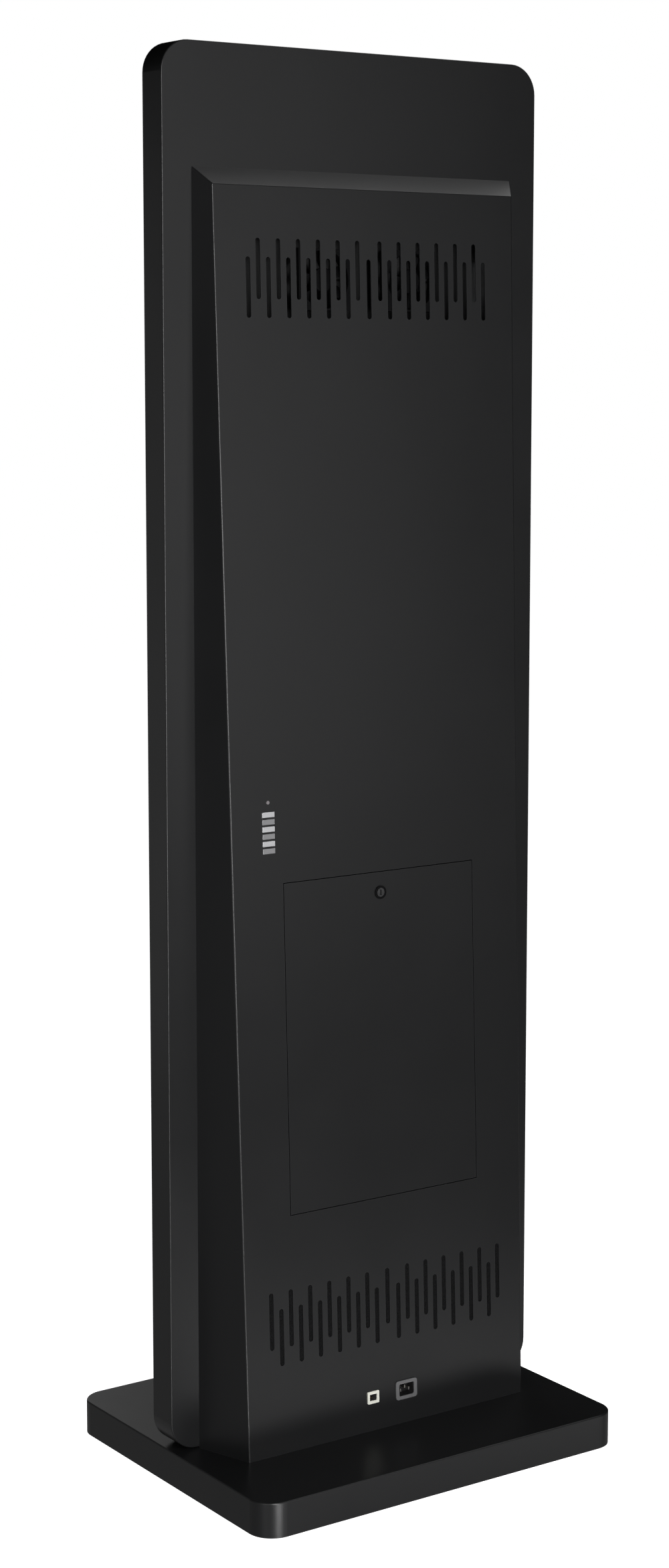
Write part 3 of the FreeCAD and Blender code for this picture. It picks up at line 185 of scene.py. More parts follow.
def coat(nodes, material):
    """Give nodes of the frame a finish in place of their plain one."""
    for name in nodes:
        slots = NODES[name].data.materials
        if len(slots):
            slots[0] = material
        else:
            slots.append(material)


def nodes_in(*slots):
    """Names of the nodes whose record slot is one of these."""
    return sorted(name for name, slot in SLOTS.items() if slot in slots)


# ---------------------------------------------------------------- finishes

SHADER_SOCKETS = {"specular": "Specular IOR Level", "coat": "Coat Weight",
                  "coat_roughness": "Coat Roughness",
                  "ior": "IOR", "transmission": "Transmission Weight", "anisotropic": "Anisotropic",
                  "sheen": "Sheen Weight"}


class Finish:
    """A material of one Principled shader, with textures that read the object's own coordinates."""

    def __init__(self, name, colour, roughness, metallic=0.0, **even):
        self.material = bpy.data.materials.new(name)
        self.material.use_nodes = True
        self.tree = self.material.node_tree
        self.shader = self.tree.nodes["Principled BSDF"].inputs
        self.shader["Base Color"].default_value = (*colour, 1.0)
        self.shader["Roughness"].default_value = roughness
        self.shader["Metallic"].default_value = metallic
        for word, value in even.items():
            self.shader[SHADER_SOCKETS[word]].default_value = value

    def add(self, kind, **inputs):
        """A node of a kind; an input that is a socket is joined, and any other is set."""
        made = self.tree.nodes.new("ShaderNode" + kind)
        for word, value in inputs.items():
            self.give(made.inputs[word.replace("_", " ")], value)
        return made

    def give(self, socket, value):
        """Join a socket to another, or set it."""
        if isinstance(value, bpy.types.NodeSocket):
            self.tree.links.new(value, socket)
        else:
            socket.default_value = value

    def here(self, stretch=(1.0, 1.0, 1.0)):
        """The object's own coordinates, each axis stretched."""
        place = self.add("TexCoord").outputs["Object"]
        return self.add("Mapping", Vector=place, Scale=stretch).outputs["Vector"]

    def cloud(self, scale, detail=3.0, stretch=(1.0, 1.0, 1.0)):
        """Soft noise from 0 to 1, its scale in patches to the metre."""
        return self.add("TexNoise", Vector=self.here(stretch), Scale=scale, Detail=detail).outputs["Fac"]

    def cells(self, scale, stretch=(1.0, 1.0, 1.0), output="Distance"):
        """A cell pattern, its scale in cells to the metre."""
        return self.add("TexVoronoi", Vector=self.here(stretch), Scale=scale).outputs[output]

    def maths(self, operation, *values):
        """One sum on one, two or three values."""
        made = self.tree.nodes.new("ShaderNodeMath")
        made.operation = operation
        for socket, value in zip(made.inputs, values):
            self.give(socket, value)
        return made.outputs[0]

    def between(self, source, low, high, start=0.0, stop=1.0):
        """A value mapped from start..stop to low..high and kept there."""
        made = self.add("MapRange", Value=source, From_Min=start, From_Max=stop, To_Min=low, To_Max=high)
        return made.outputs["Result"]

    def mix(self, factor, first, second):
        """A colour between two others."""
        made = self.tree.nodes.new("ShaderNodeMix")
        made.data_type = "RGBA"
        for socket, value in zip((made.inputs[0], made.inputs[6], made.inputs[7]), (factor, first, second)):
            self.give(socket, (*value, 1.0) if isinstance(value, tuple) and len(value) == 3 else value)
        return made.outputs[2]

    def along(self, direction):
        """How far a point lies along a direction, in metres."""
        made = self.tree.nodes.new("ShaderNodeVectorMath")
        made.operation = "DOT_PRODUCT"
        self.give(made.inputs[0], self.add("TexCoord").outputs["Object"])
        self.give(made.inputs[1], tuple(direction))
        return made.outputs["Value"]

    def edges(self, radius):
        """A mask that is 1 on edges and 0 elsewhere: how far the rounded normal leans from the plain one."""
        lean = self.tree.nodes.new("ShaderNodeVectorMath")
        lean.operation = "DOT_PRODUCT"
        self.give(lean.inputs[0], self.add("Bevel", Radius=radius).outputs["Normal"])
        self.give(lean.inputs[1], self.add("NewGeometry").outputs["Normal"])
        return self.between(lean.outputs["Value"], 1.0, 0.0, 0.8, 0.99)

    def relief(self, height, depth, strength=1.0):
        """Raise the surface by a pattern, to a depth in metres."""
        made = self.add("Bump", Height=height, Distance=depth, Strength=strength)
        self.give(self.shader["Normal"], made.outputs["Normal"])

    def colour(self, value):
        self.give(self.shader["Base Color"], value)

    def rough(self, source, low, high, start=0.3, stop=0.7):
        """Roughness that follows a pattern."""
        self.give(self.shader["Roughness"], self.between(source, low, high, start, stop))


def shade(colour, share):
    """A colour made darker or lighter by a share."""
    return tuple(channel * share for channel in colour)


def powder_coat(look):
    """Satin black powder coat: fine orange peel, cloudy gloss, edges painted a little lighter in patches, as a
    painted edge highlight with some wear from rubbing.
    """
    paint = tuple(look.paint_colour)
    made = Finish("powder_coat", paint, look.paint_roughness, specular=look.paint_gloss)
    # Patchy lighter band along the edges: a painted edge highlight, with some wear from rubbing.
    edge_highlight_and_wear = made.maths("MULTIPLY", made.edges(look.edge_highlight_and_wear_width), made.cloud(40, 4))
    body = made.mix(made.cloud(3, 4), shade(paint, 0.8), shade(paint, 1.2))
    made.colour(made.mix(edge_highlight_and_wear, body, shade(paint, 4.0)))
    made.rough(made.cloud(7, 5), look.paint_roughness - 0.025, look.paint_roughness + 0.025)
    peel = made.maths("ADD", made.cloud(620, 2), made.maths("MULTIPLY", made.cells(1400), 0.35))
    made.relief(peel, 0.00012, 0.35)
    return made.material


def zinc_sheet():
    """Zinc-coated sheet: faint spangle, small scratches along the sheet."""
    made = Finish("zinc_sheet", (0.15, 0.153, 0.157), 0.42, 1.0)
    spangle = made.cells(70, output="Color")
    grey = made.tree.nodes.new("ShaderNodeRGBToBW")
    made.give(grey.inputs[0], spangle)
    made.colour(made.mix(grey.outputs[0], (0.11, 0.113, 0.117), (0.19, 0.193, 0.197)))
    made.rough(grey.outputs[0], 0.34, 0.50, 0.0, 1.0)
    made.relief(made.cloud(240, 3, (1, 1, 0.05)), 0.00004, 0.4)
    return made.material


def mill_aluminium():
    """Mill-finish aluminium: long drawn lines and dull patches."""
    made = Finish("mill_aluminium", (0.26, 0.263, 0.267), 0.38, 1.0, anisotropic=0.4)
    drawn = made.cloud(900, 2, (1, 1, 0.012))
    made.colour(made.mix(drawn, (0.22, 0.223, 0.227), (0.30, 0.303, 0.307)))
    made.rough(made.cloud(12, 4), 0.30, 0.46)
    made.relief(drawn, 0.00003, 0.5)
    return made.material


def bright_zinc():
    """Bright zinc on fasteners: a slight straw and blue play over the metal."""
    made = Finish("bright_zinc", (0.30, 0.30, 0.29), 0.28, 1.0)
    made.colour(made.mix(made.cloud(180, 2), (0.29, 0.30, 0.32), (0.32, 0.30, 0.24)))
    made.rough(made.cloud(600, 3), 0.20, 0.38)
    made.relief(made.cloud(1800, 2), 0.00002, 0.4)
    return made.material


def foot_rubber():
    """Matt black rubber with dust in its grain."""
    made = Finish("foot_rubber", (0.022, 0.022, 0.022), 0.82, specular=0.3)
    made.colour(made.mix(made.between(made.cloud(220, 5), 0.0, 1.0, 0.5, 0.8), (0.018, 0.018, 0.018),
                         (0.045, 0.043, 0.04)))
    made.rough(made.cloud(400, 3), 0.74, 0.9)
    made.relief(made.cloud(2500, 2), 0.00005, 0.5)
    return made.material


def screen_glass():
    """Clear polished glass with faint finger smears."""
    made = Finish("screen_glass", (0.93, 0.96, 0.95), 0.03, transmission=1.0, ior=1.52)
    made.rough(made.cloud(5, 3, (1, 1, 0.4)), 0.015, 0.04, 0.3, 0.8)
    return made.material


def screen_print():
    """Dense black print behind the glass."""
    made = Finish("screen_print", (0.004, 0.004, 0.0045), 0.35, specular=0.3)
    made.colour(made.mix(made.cloud(300, 2), (0.003, 0.003, 0.0035), (0.006, 0.006, 0.0065)))
    made.rough(made.cloud(90, 2), 0.3, 0.42)
    made.relief(made.cloud(3000, 1), 0.00001, 0.3)
    return made.material


def black_film():
    """Smooth black film over a fine sensing grid."""
    made = Finish("black_film", (0.010, 0.010, 0.012), 0.22, specular=0.4)
    lines = []
    for axis in ("X", "Z"):
        wave = made.add("TexWave", Vector=made.here(), Scale=12.0)
        wave.bands_direction = axis
        lines.append(wave.outputs["Fac"])
    grid = made.between(made.maths("MAXIMUM", *lines), 0.0, 1.0, 0.985, 1.0)
    made.colour(made.mix(grid, (0.009, 0.009, 0.011), (0.016, 0.016, 0.019)))
    made.rough(made.cloud(30, 3), 0.18, 0.28)
    made.relief(made.cloud(2000, 1), 0.00001, 0.3)
    return made.material


def clear_acrylic():
    """Clear sheet with a field of light-scattering dots."""
    made = Finish("clear_acrylic", (0.82, 0.85, 0.87), 0.12, transmission=0.6, ior=1.49)
    dots = made.between(made.cells(420), 1.0, 0.0, 0.25, 0.4)
    made.colour(made.mix(dots, (0.75, 0.78, 0.80), (0.92, 0.93, 0.93)))
    made.rough(dots, 0.08, 0.6, 0.0, 1.0)
    made.relief(dots, 0.00005, 0.4)
    return made.material


def solder_mask():
    """Green board: raised tracks between a scatter of tinned pads."""
    made = Finish("solder_mask", (0.02, 0.10, 0.045), 0.35, coat=0.4, coat_roughness=0.2)
    brick = made.add("TexBrick", Vector=made.here((1, 1, 1)), Scale=55.0, Mortar_Size=0.06,
                     Brick_Width=0.7, Row_Height=0.11)
    tracks = made.between(brick.outputs["Fac"], 1.0, 0.0)
    pads = made.between(made.cells(260), 1.0, 0.0, 0.12, 0.16)
    green = made.mix(tracks, (0.012, 0.065, 0.03), (0.022, 0.12, 0.05))
    made.colour(made.mix(pads, green, (0.62, 0.60, 0.52)))
    made.rough(made.cloud(120, 3), 0.28, 0.42)
    made.relief(made.maths("ADD", tracks, pads), 0.00006, 0.5)
    return made.material


def filter_foam():
    """Open-cell foam: two sizes of pore."""
    made = Finish("filter_foam", (0.003, 0.003, 0.003), 0.97, specular=0.05)
    pores = made.maths("ADD", made.cells(520), made.maths("MULTIPLY", made.cells(1300), 0.5))
    made.colour(made.mix(made.between(pores, 0.0, 1.0, 0.2, 0.9), (0.0015, 0.0015, 0.0015),
                         (0.005, 0.005, 0.0052)))
    made.rough(made.cloud(60, 3), 0.88, 1.0)
    made.relief(pores, 0.0008, 0.9)
    return made.material


def lock_black():
    """Semi-gloss black plate on the lock's body, a little lighter along its edges."""
    made = Finish("lock_black", (0.002, 0.002, 0.0022), 0.35, specular=0.1)
    made.colour(made.mix(made.edges(0.0004), (0.0018, 0.0018, 0.002), (0.006, 0.006, 0.006)))
    made.rough(made.cloud(700, 3), 0.22, 0.4)
    made.relief(made.cloud(1500, 2), 0.00002, 0.5)
    return made.material


def lock_chrome():
    """Worn satin plate round the keyway, with key scratches."""
    made = Finish("lock_chrome", (0.08, 0.08, 0.082), 0.35, 1.0)
    scratches = made.cloud(1200, 4, (0.15, 1, 1))
    made.colour(made.mix(scratches, (0.06, 0.06, 0.062), (0.11, 0.11, 0.112)))
    made.rough(scratches, 0.25, 0.5)
    made.relief(scratches, 0.00002, 0.6)
    return made.material


def key_silver(name, silver):
    """Satin silver paint on the keys: fine flake, and edges painted brighter, as a painted edge highlight with
    wear from rubbing.
    """
    made = Finish(name, silver, 0.42, 0.55, specular=0.5)
    flake = made.cells(3200, output="Distance")
    body = made.mix(flake, shade(silver, 0.9), shade(silver, 1.12))
    # Edges painted brighter: a painted edge highlight, with wear from rubbing.
    made.colour(made.mix(made.edges(0.0004), body, shade(silver, 1.5)))
    made.rough(made.cloud(500, 3), 0.36, 0.5)
    made.relief(made.cloud(2400, 2), 0.00002, 0.5)
    return made.material


def smoked_lens():
    """Smoked lens over an unlit lamp."""
    made = Finish("smoked_lens", (0.09, 0.08, 0.085), 0.16, coat=0.6, coat_roughness=0.08)
    made.colour(made.mix(made.cloud(350, 2), (0.07, 0.065, 0.07), (0.12, 0.105, 0.11)))
    made.rough(made.cloud(800, 2), 0.12, 0.22)
    made.relief(made.cells(2600), 0.00002, 0.4)
    return made.material


def socket_plastic(name, rim, well_shade, rim_face):
    """Moulded plastic with a rim, and painted shade in its well: the colour turns dark where the surface falls
    below the rim.
    """
    made = Finish(name, rim, 0.4, specular=0.4)
    level = float(np.dot(FACE_ROOT, OUT)) + rim_face
    mask = made.between(made.along(OUT), 0.0, 1.0, level - 0.0003, level)
    body = made.mix(made.cloud(400, 3), shade(rim, 0.93), shade(rim, 1.05))
    # Below the rim the surface takes the well colour: painted shade in the socket's hollow.
    made.colour(made.mix(mask, well_shade, body))
    made.rough(made.cloud(900, 3), 0.34, 0.5)
    made.relief(made.cells(2200), 0.00002, 0.35)
    return made.material


def gilt():
    """Gold flash on spring contacts."""
    made = Finish("gilt", (0.80, 0.60, 0.28), 0.25, 1.0)
    made.colour(made.mix(made.cloud(900, 2), (0.74, 0.54, 0.24), (0.86, 0.66, 0.34)))
    made.rough(made.cloud(1500, 2), 0.18, 0.34)
    made.relief(made.cloud(2500, 1), 0.00001, 0.4)
    return made.material


def black_anodising():
    """Black anodised aluminium with brushed lines."""
    made = Finish("black_anodising", (0.05, 0.05, 0.053), 0.42, 0.8)
    brushed = made.cloud(1300, 2, (0.02, 1, 1))
    made.colour(made.mix(made.edges(0.0006), (0.045, 0.045, 0.048), (0.3, 0.3, 0.31)))
    made.rough(brushed, 0.36, 0.5)
    made.relief(brushed, 0.00002, 0.5)
    return made.material


def black_plastic():
    """Black moulded plastic with a spark-eroded grain, its colour and gloss turned down to near black as painted
    shade behind the vent slots.
    """
    made = Finish("black_plastic", (0.002, 0.002, 0.0022), 0.6, specular=0.05)
    # Near-black colour: the plastic's own black, darkened further as painted shade for the parts seen through the
    # vents.
    made.colour(made.mix(made.cloud(90, 3), (0.0015, 0.0015, 0.0017), (0.0028, 0.0028, 0.003)))
    made.rough(made.cloud(500, 4), 0.42, 0.6)
    made.relief(made.cells(1500), 0.00005, 0.4)
    return made.material


# ---------------------------------------------------------------- shapes

def print_border(look):
    """The printed border behind the glass: a flat ring between two rounded rectangles.

    Four loops make it: outer and inner edge on its front, then inner and outer edge on its back.
    """
    low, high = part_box("cover_glass")
    film_low, film_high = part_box("touch_film")
    centre_up = (low.z + high.z) / 2
    outer = rounded_loop((high.x - low.x) / 2 - look.print_inset, (high.z - low.z) / 2 - look.print_inset,
                         look.print_radius, look.corner_points)
    window = rounded_loop((film_high.x - film_low.x) / 2 - look.window_inset,
                          (film_high.z - film_low.z) / 2 - look.window_inset, look.window_radius,
                          look.corner_points)
    window = window + (0, (film_low.z + film_high.z) / 2 - centre_up)
    front, back = high.y - look.print_thick, high.y + look.print_thick
    loops = [np.insert(loop, 1, deep, axis=1) + (0, 0, centre_up)
             for loop, deep in ((outer, front), (window, front), (window, back), (outer, back))]
    return np.concatenate(loops), grid_faces(len(loops), len(outer), rows_close=True)


def foot_profile(look, height):
    """A foot's closed (radius, rise) section: screw bore, flat top, waisted side, ridged tread, screw sink.

    The side is the foot's radius less a waist that swells and fades with the sine of the rise; the tread's
    rise follows a raised cosine of the radius.
    """
    share = np.linspace(0, 1, look.profile_points)
    side = np.stack((look.foot_radius - look.foot_waist * np.sin(math.pi * share) ** 2
                     - look.foot_waist * share, height * (1 - share)), axis=-1)
    tread_radius = np.linspace(side[-1, 0] - look.tread_depth, look.sink_radius + look.tread_depth,
                               3 * look.profile_points)
    wave = np.linspace(0, look.tread_ridges * FULL_TURN, len(tread_radius))
    tread = np.stack((tread_radius, look.tread_depth * (1 - np.cos(wave)) / 2), axis=-1)
    bore = [(look.sink_radius, look.tread_depth), (look.sink_radius, look.sink_depth),
            (look.bore_radius, look.sink_depth), (look.bore_radius, height)]
    return np.concatenate((side, tread, bore))


def feet_form(look):
    """Four feet, each a section turned about an upright axis."""
    low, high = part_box("base_feet")
    profile = foot_profile(look, high.z - low.z)
    return joined([turned(profile, (x * (high.x - look.foot_radius), y * (high.y - look.foot_radius), low.z),
                          SKY, look.foot_sides, profile_closes=True) for x in SIDES for y in SIDES])


def blade_form(look, start, rise):
    """One fan blade as a closed shell about its own curved mean surface.

    Across the chord c runs from -1 to 1 and along the blade s from 0 to 1. The mean point stands at a
    radius from hub to tip, at an angle of start + (chord c + sweep s squared) / radius, and at a rise that
    falls with c and bulges by one less c squared. The shell stands off it by a thickness that dies away at
    every edge.
    """
    length = np.linspace(0, 1, look.blade_rows)
    round_section = np.arange(look.blade_columns) * FULL_TURN / look.blade_columns
    s, turn = np.meshgrid(length, round_section, indexing="ij")
    c = np.cos(turn)
    radius = look.hub_radius - look.blade_thick + s * (look.fan_radius - look.hub_radius)
    ends = (1 - s ** look.blade_ends) * (1 - (1 - s) ** look.blade_ends)
    offset = look.blade_thick / 2 * np.sin(turn) * ends
    chord = look.blade_chord * (look.blade_root + look.blade_flare * s)
    angle = start + (chord * c + look.blade_sweep * s ** 2) / radius
    pitch = (1 + c * (1 - look.blade_twist * s)) / 2
    height = rise[0] + (rise[1] - rise[0]) * pitch + look.blade_bulge * (1 - c ** 2)
    return radius, angle, height + offset


def rotor_form(look, node, joint):
    """A fan's wheel: a rounded hub cup turned about the axis, and seven twisted blades round it."""
    centre = np.array(JOINTS[joint]["pos_m"], float)
    points = np.array([vertex.co for vertex in NODES[node].data.vertices], float) - centre
    low, high = (points @ OUT).min(), (points @ OUT).max()
    crown = np.linspace(0, math.pi / 2, look.profile_points)
    shoulder = np.stack((look.hub_radius - look.hub_round * (1 - np.cos(crown)),
                         high - look.hub_round * (1 - np.sin(crown))), axis=-1)
    wall = look.hub_wall
    cup = [(0, high), (0, high - wall), (look.hub_radius - wall, high - wall),
           (look.hub_radius - wall, low + wall), (look.hub_radius, low + wall)]
    pin = [(0, high - wall), (look.shaft_radius, high - wall), (look.shaft_radius, low + wall / 2),
           (look.shaft_radius - wall / 4, low), (0, low)]
    forms = [turned(np.concatenate((cup, shoulder)), centre, OUT, look.hub_sides, profile_closes=True),
             turned(pin, centre, OUT, look.hub_sides // 2)]
    for blade in range(look.blade_count):
        radius, angle, rise = blade_form(look, blade * FULL_TURN / look.blade_count,
                                         (low + 2 * wall, high - wall))
        spoke = np.cos(angle)[..., None] * ACROSS + np.sin(angle)[..., None] * UP
        points = centre + radius[..., None] * spoke + rise[..., None] * OUT
        forms.append((points.reshape(-1, 3), grid_faces(look.blade_rows, look.blade_columns)))
    return joined(forms)


def cone_form(look):
    """Two loudspeaker cones: rim, half-round surround, straight cone, domed cap and a closed back."""
    low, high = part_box("speaker_cones")
    depth = high.y - low.y
    rim = look.cone_radius
    roll = np.linspace(0, math.pi, look.profile_points)
    reach = look.surround_width / 2
    surround = np.stack((rim - reach + reach * np.cos(roll) - look.rim_land,
                         depth - reach + look.roll_rise * reach * np.sin(roll)), axis=-1)
    cap = np.linspace(math.pi / 2, 0, look.profile_points)
    dome = np.stack((look.cap_radius * np.sin(cap), depth * look.cap_seat + look.cap_rise * np.cos(cap)),
                    axis=-1)
    front = np.concatenate(([(rim, depth - reach)], surround, dome))
    back = [(0, 0), (look.neck_radius, 0), (rim, depth - reach - look.rim_thick)]
    middle = (low.z + high.z) / 2
    return joined([turned(np.concatenate((front, back)), (side * (high.x - rim), low.y, middle), BACK,
                          look.cone_sides, profile_closes=True) for side in SIDES])


# ---------------------------------------------------------------- settings

def number(name, description, default, unit="LENGTH", **more):
    """A real number with a length's unit unless it says otherwise."""
    return bpy.props.FloatProperty(name=name, description=description, default=default, unit=unit,
                                   precision=5, **more)


def count(name, description, default):
    """A whole number of at least one."""
    return bpy.props.IntProperty(name=name, description=description, default=default, min=1)


def paint(name, description, default):
    """A plain colour."""
    return bpy.props.FloatVectorProperty(name=name, description=description, default=default, size=3,
                                         subtype="COLOR", min=0.0, max=1.0)


class KioskFinishes(bpy.types.PropertyGroup):
    """Colours and gloss."""

    paint_colour: paint("Paint", "Colour of the powder coat", (0.0055, 0.0056, 0.0059))
    paint_roughness: number("Paint roughness", "Roughness of the powder coat", 0.33, "NONE")
    paint_gloss: number("Paint gloss", "Strength of the powder coat's reflections", 0.35, "NONE")
    # Width of the lighter band along the paint's edges: a painted edge highlight and wear from rubbing.
    edge_highlight_and_wear_width: number("Rubbed edge", "Width of the rubbed band along an edge", 0.0012)
    # The two key colours are one silver in a lit and a shaded copy: a painted glint and painted shade.
    key_painted_glint: paint("Bright keys", "Colour of every other key from the top", (0.40, 0.40, 0.41))
    key_painted_shade: paint("Dim keys", "Colour of the keys between", (0.20, 0.20, 0.205))
    edge_radius: number("Edge radius", "Rounding of the cover glass's edges", 0.0006)
    small_radius: number("Small radius", "Rounding of keys, rims and other small parts", 0.0003)


class KioskShapes(bpy.types.PropertyGroup):
    """Sizes of the shaped pieces."""

    corner_points: count("Corner points", "Points round one corner of the printed border", 16)
    print_inset: number("Print inset", "Bare glass left outside the print", 0.0006)
    print_radius: number("Print corner", "Corner radius of the print's outer edge", 0.037)
    window_inset: number("Window inset", "How far the print covers the film's edge", 0.008)
    window_radius: number("Window corner", "Corner radius of the print's window", 0.0015)
    print_thick: number("Print thickness", "Half the print's thickness", 0.00002)
    profile_points: count("Profile points", "Points along one curve of a turned section", 9)
    foot_radius: number("Foot radius", "Radius of a foot at the plate", 0.02)
    foot_waist: number("Foot waist", "Depth of the groove round a foot", 0.0007)
    foot_sides: count("Foot sides", "Points round a foot", 48)
    tread_depth: number("Tread depth", "Depth of the grooves under a foot", 0.0006)
    tread_ridges: count("Tread ridges", "Grooves under a foot", 5)
    sink_radius: number("Sink radius", "Radius of the hole for the screw head", 0.0055)
    sink_depth: number("Sink depth", "Depth of the hole for the screw head", 0.0028)
    bore_radius: number("Bore radius", "Radius of the hole for the screw", 0.0027)
    hub_radius: number("Hub radius", "Radius of a fan's hub", 0.016)
    hub_round: number("Hub rounding", "Rounding of the hub's rim", 0.0018)
    hub_wall: number("Hub wall", "Wall of the hub", 0.001)
    hub_sides: count("Hub sides", "Points round a hub", 48)
    shaft_radius: number("Shaft radius", "Radius of a fan's shaft", 0.0015)
    fan_radius: number("Fan radius", "Radius of a fan's blade tips", 0.0366)
    blade_count: count("Blades", "Blades of a fan", 7)
    blade_rows: count("Blade rows", "Points along a blade", 14)
    blade_columns: count("Blade columns", "Points round a blade's section", 20)
    blade_thick: number("Blade thickness", "Thickness in the middle of a blade", 0.0013)
    blade_chord: number("Blade chord", "Half the width of a blade", 0.007)
    blade_sweep: number("Blade sweep", "How far a blade's tip leads its root", 0.004)
    blade_bulge: number("Blade bulge", "Hollow of a blade's section", 0.0008)
    blade_root: number("Blade root", "Chord at the hub, as a share of the blade's width", 0.8, "NONE")
    blade_flare: number("Blade flare", "Share that the chord gains from hub to tip", 0.3, "NONE")
    blade_twist: number("Blade twist", "Share of its pitch that a blade loses by its tip", 0.25, "NONE")
    blade_ends: count("Blade ends", "Power that squares off a blade's root and tip", 10)
    cone_radius: number("Cone radius", "Radius of a loudspeaker cone's rim", 0.027)
    cone_sides: count("Cone sides", "Points round a loudspeaker cone", 64)
    surround_width: number("Surround", "Width of the cone's flexible surround", 0.004)
    cap_radius: number("Cap radius", "Radius of the cone's dust cap", 0.009)
    cap_rise: number("Cap rise", "Rise of the cone's dust cap", 0.003)
    cap_seat: number("Cap seat", "Height of the dust cap's edge, as a share of the depth", 0.25, "NONE")
    rim_land: number("Rim land", "Flat rim outside the surround", 0.001)
    rim_thick: number("Rim thickness", "Thickness of the cone at its rim", 0.0008)
    roll_rise: number("Roll rise", "Rise of the surround, as a share of its half width", 0.8, "NONE")
    neck_radius: number("Neck radius", "Radius of the cone's flat back", 0.01134)


class KioskStudio(bpy.types.PropertyGroup):
    """Camera, floor and light."""

    camera_distance: number("Camera distance", "Level distance from the kiosk's middle", 3.789)
    camera_azimuth: number("Camera azimuth", "Turn of the camera round the kiosk from its rear",
                           math.radians(34.98), "ROTATION")
    camera_turn: number("Camera turn", "Turn of the camera away from the kiosk's middle",
                        math.radians(0.225), "ROTATION")
    camera_tilt: number("Camera tilt", "Tilt of the camera below level", math.radians(7.279), "ROTATION")
    camera_height: number("Camera height", "Height of the camera over the floor", 1.4887)
    camera_lens: number("Lens", "Focal length in millimetres", 64.52, "NONE")
    sensor_width: number("Sensor", "Width of the sensor in millimetres", 36.0, "NONE")
    shift_across: number("Shift across", "Sideways shift of the lens", -0.0007, "NONE")
    shift_up: number("Shift up", "Upward shift of the lens", -0.0363, "NONE")
    floor_colour: paint("Floor", "Colour of the floor", (0.86, 0.86, 0.86))
    floor_radius: number("Floor radius", "Radius of the floor", 40.0)
    floor_sides: count("Floor sides", "Points round the floor", 96)
    floor_gap: number("Floor gap", "Gap between the feet and the floor", 0.0002)
    floor_glow: number("Floor glow", "Light that the floor shows the camera by itself", 1.0, "NONE")
    backdrop: number("Backdrop", "Brightness of the backdrop", 1.0, "NONE")
    fill_low: number("Fill from below", "Brightness of the room under the horizon", 0.22, "NONE")
    fill_edge: number("Fill edge", "Where the fill from below starts to fade, 0 straight down and 1 up", 0.35,
                      "NONE")
    fill_level: number("Level fill", "Brightness of the room at the horizon", 0.0, "NONE")
    fill_high: number("Fill from above", "Brightness of the room overhead", 0.0, "NONE")


# ---------------------------------------------------------------- operators

class KIOSK_OT_covers(bpy.types.Operator):
    """Powder coat the base cover, the tray, the rear housing and its door"""

    bl_idname = "kiosk.covers"
    bl_label = "Sheet covers"

    def execute(self, context):
        coat(nodes_in("painted_steel"), powder_coat(context.scene.kiosk_finishes))
        return {"FINISHED"}


class KIOSK_OT_metalwork(bpy.types.Operator):
    """Finish the bare sheet, the aluminium frames and the fasteners"""

    bl_idname = "kiosk.metalwork"
    bl_label = "Bare metalwork"

    def execute(self, context):
        coat(nodes_in("bare_steel"), zinc_sheet())
        coat(nodes_in("mill_aluminium"), mill_aluminium())
        coat(nodes_in("zinc_screws"), bright_zinc())
        return {"FINISHED"}


class KIOSK_OT_screen(bpy.types.Operator):
    """Finish the glass and the layers behind it, and print the border"""

    bl_idname = "kiosk.screen"
    bl_label = "Screen"

    def execute(self, context):
        coat(nodes_in("screen_glass"), screen_glass())
        coat(nodes_in("black_film"), black_film())
        coat(nodes_in("clear_acrylic"), clear_acrylic())
        new_piece("screen_print_border", print_border(context.scene.kiosk_shapes), "cabinet",
                  screen_print())
        soften("cover_glass", context.scene.kiosk_finishes.edge_radius)
        return {"FINISHED"}


class KIOSK_OT_keys(bpy.types.Operator):
    """Finish the six keys by turns in a lit and a shaded copy of one silver, painted glint and painted shade, and
    the lamp over them, and round the keys' edges
    """

    bl_idname = "kiosk.keys"
    bl_label = "Keys and lamp"

    def execute(self, context):
        look = context.scene.kiosk_finishes
        keys = nodes_in("key_silver")
        down = sorted(keys, reverse=True)
        # Every other key from the top takes a painted glint, and the keys between take painted shade.
        coat(down[0::2], key_silver("key_silver_painted_glint", tuple(look.key_painted_glint)))
        coat(down[1::2], key_silver("key_silver_painted_shade", tuple(look.key_painted_shade)))
        for key in keys:
            soften(key, look.small_radius, 3)
        coat(nodes_in("lens"), smoked_lens())
        return {"FINISHED"}


class KIOSK_OT_lock(bpy.types.Operator):
    """Finish the cam lock's body and plug"""

    bl_idname = "kiosk.lock"
    bl_label = "Lock"

    def execute(self, context):
        coat(nodes_in("lock_black"), lock_black())
        coat(nodes_in("lock_chrome"), lock_chrome())
        return {"FINISHED"}


class KIOSK_OT_ports(bpy.types.Operator):
    """Finish the mains inlet and the network jack: grey and off-white rims, painted shade in the wells, gilt
    contacts
    """

    bl_idname = "kiosk.ports"
    bl_label = "Sockets"

    def execute(self, context):
        look = context.scene.kiosk_finishes
        # The second colour of each socket is painted shade for its well.
        coat(nodes_in("inlet_plastic"), socket_plastic("inlet_plastic", (0.075, 0.075, 0.077),
                                                       (0.006, 0.006, 0.006), 0.0004))
        coat(nodes_in("jack_plastic"), socket_plastic("jack_plastic", (0.46, 0.46, 0.41),
                                                      (0.03, 0.03, 0.03), 0.0004))
        coat(nodes_in("contact_brass"), gilt())
        for port in nodes_in("inlet_plastic", "jack_plastic"):
            soften(port, look.small_radius, 3)
        return {"FINISHED"}


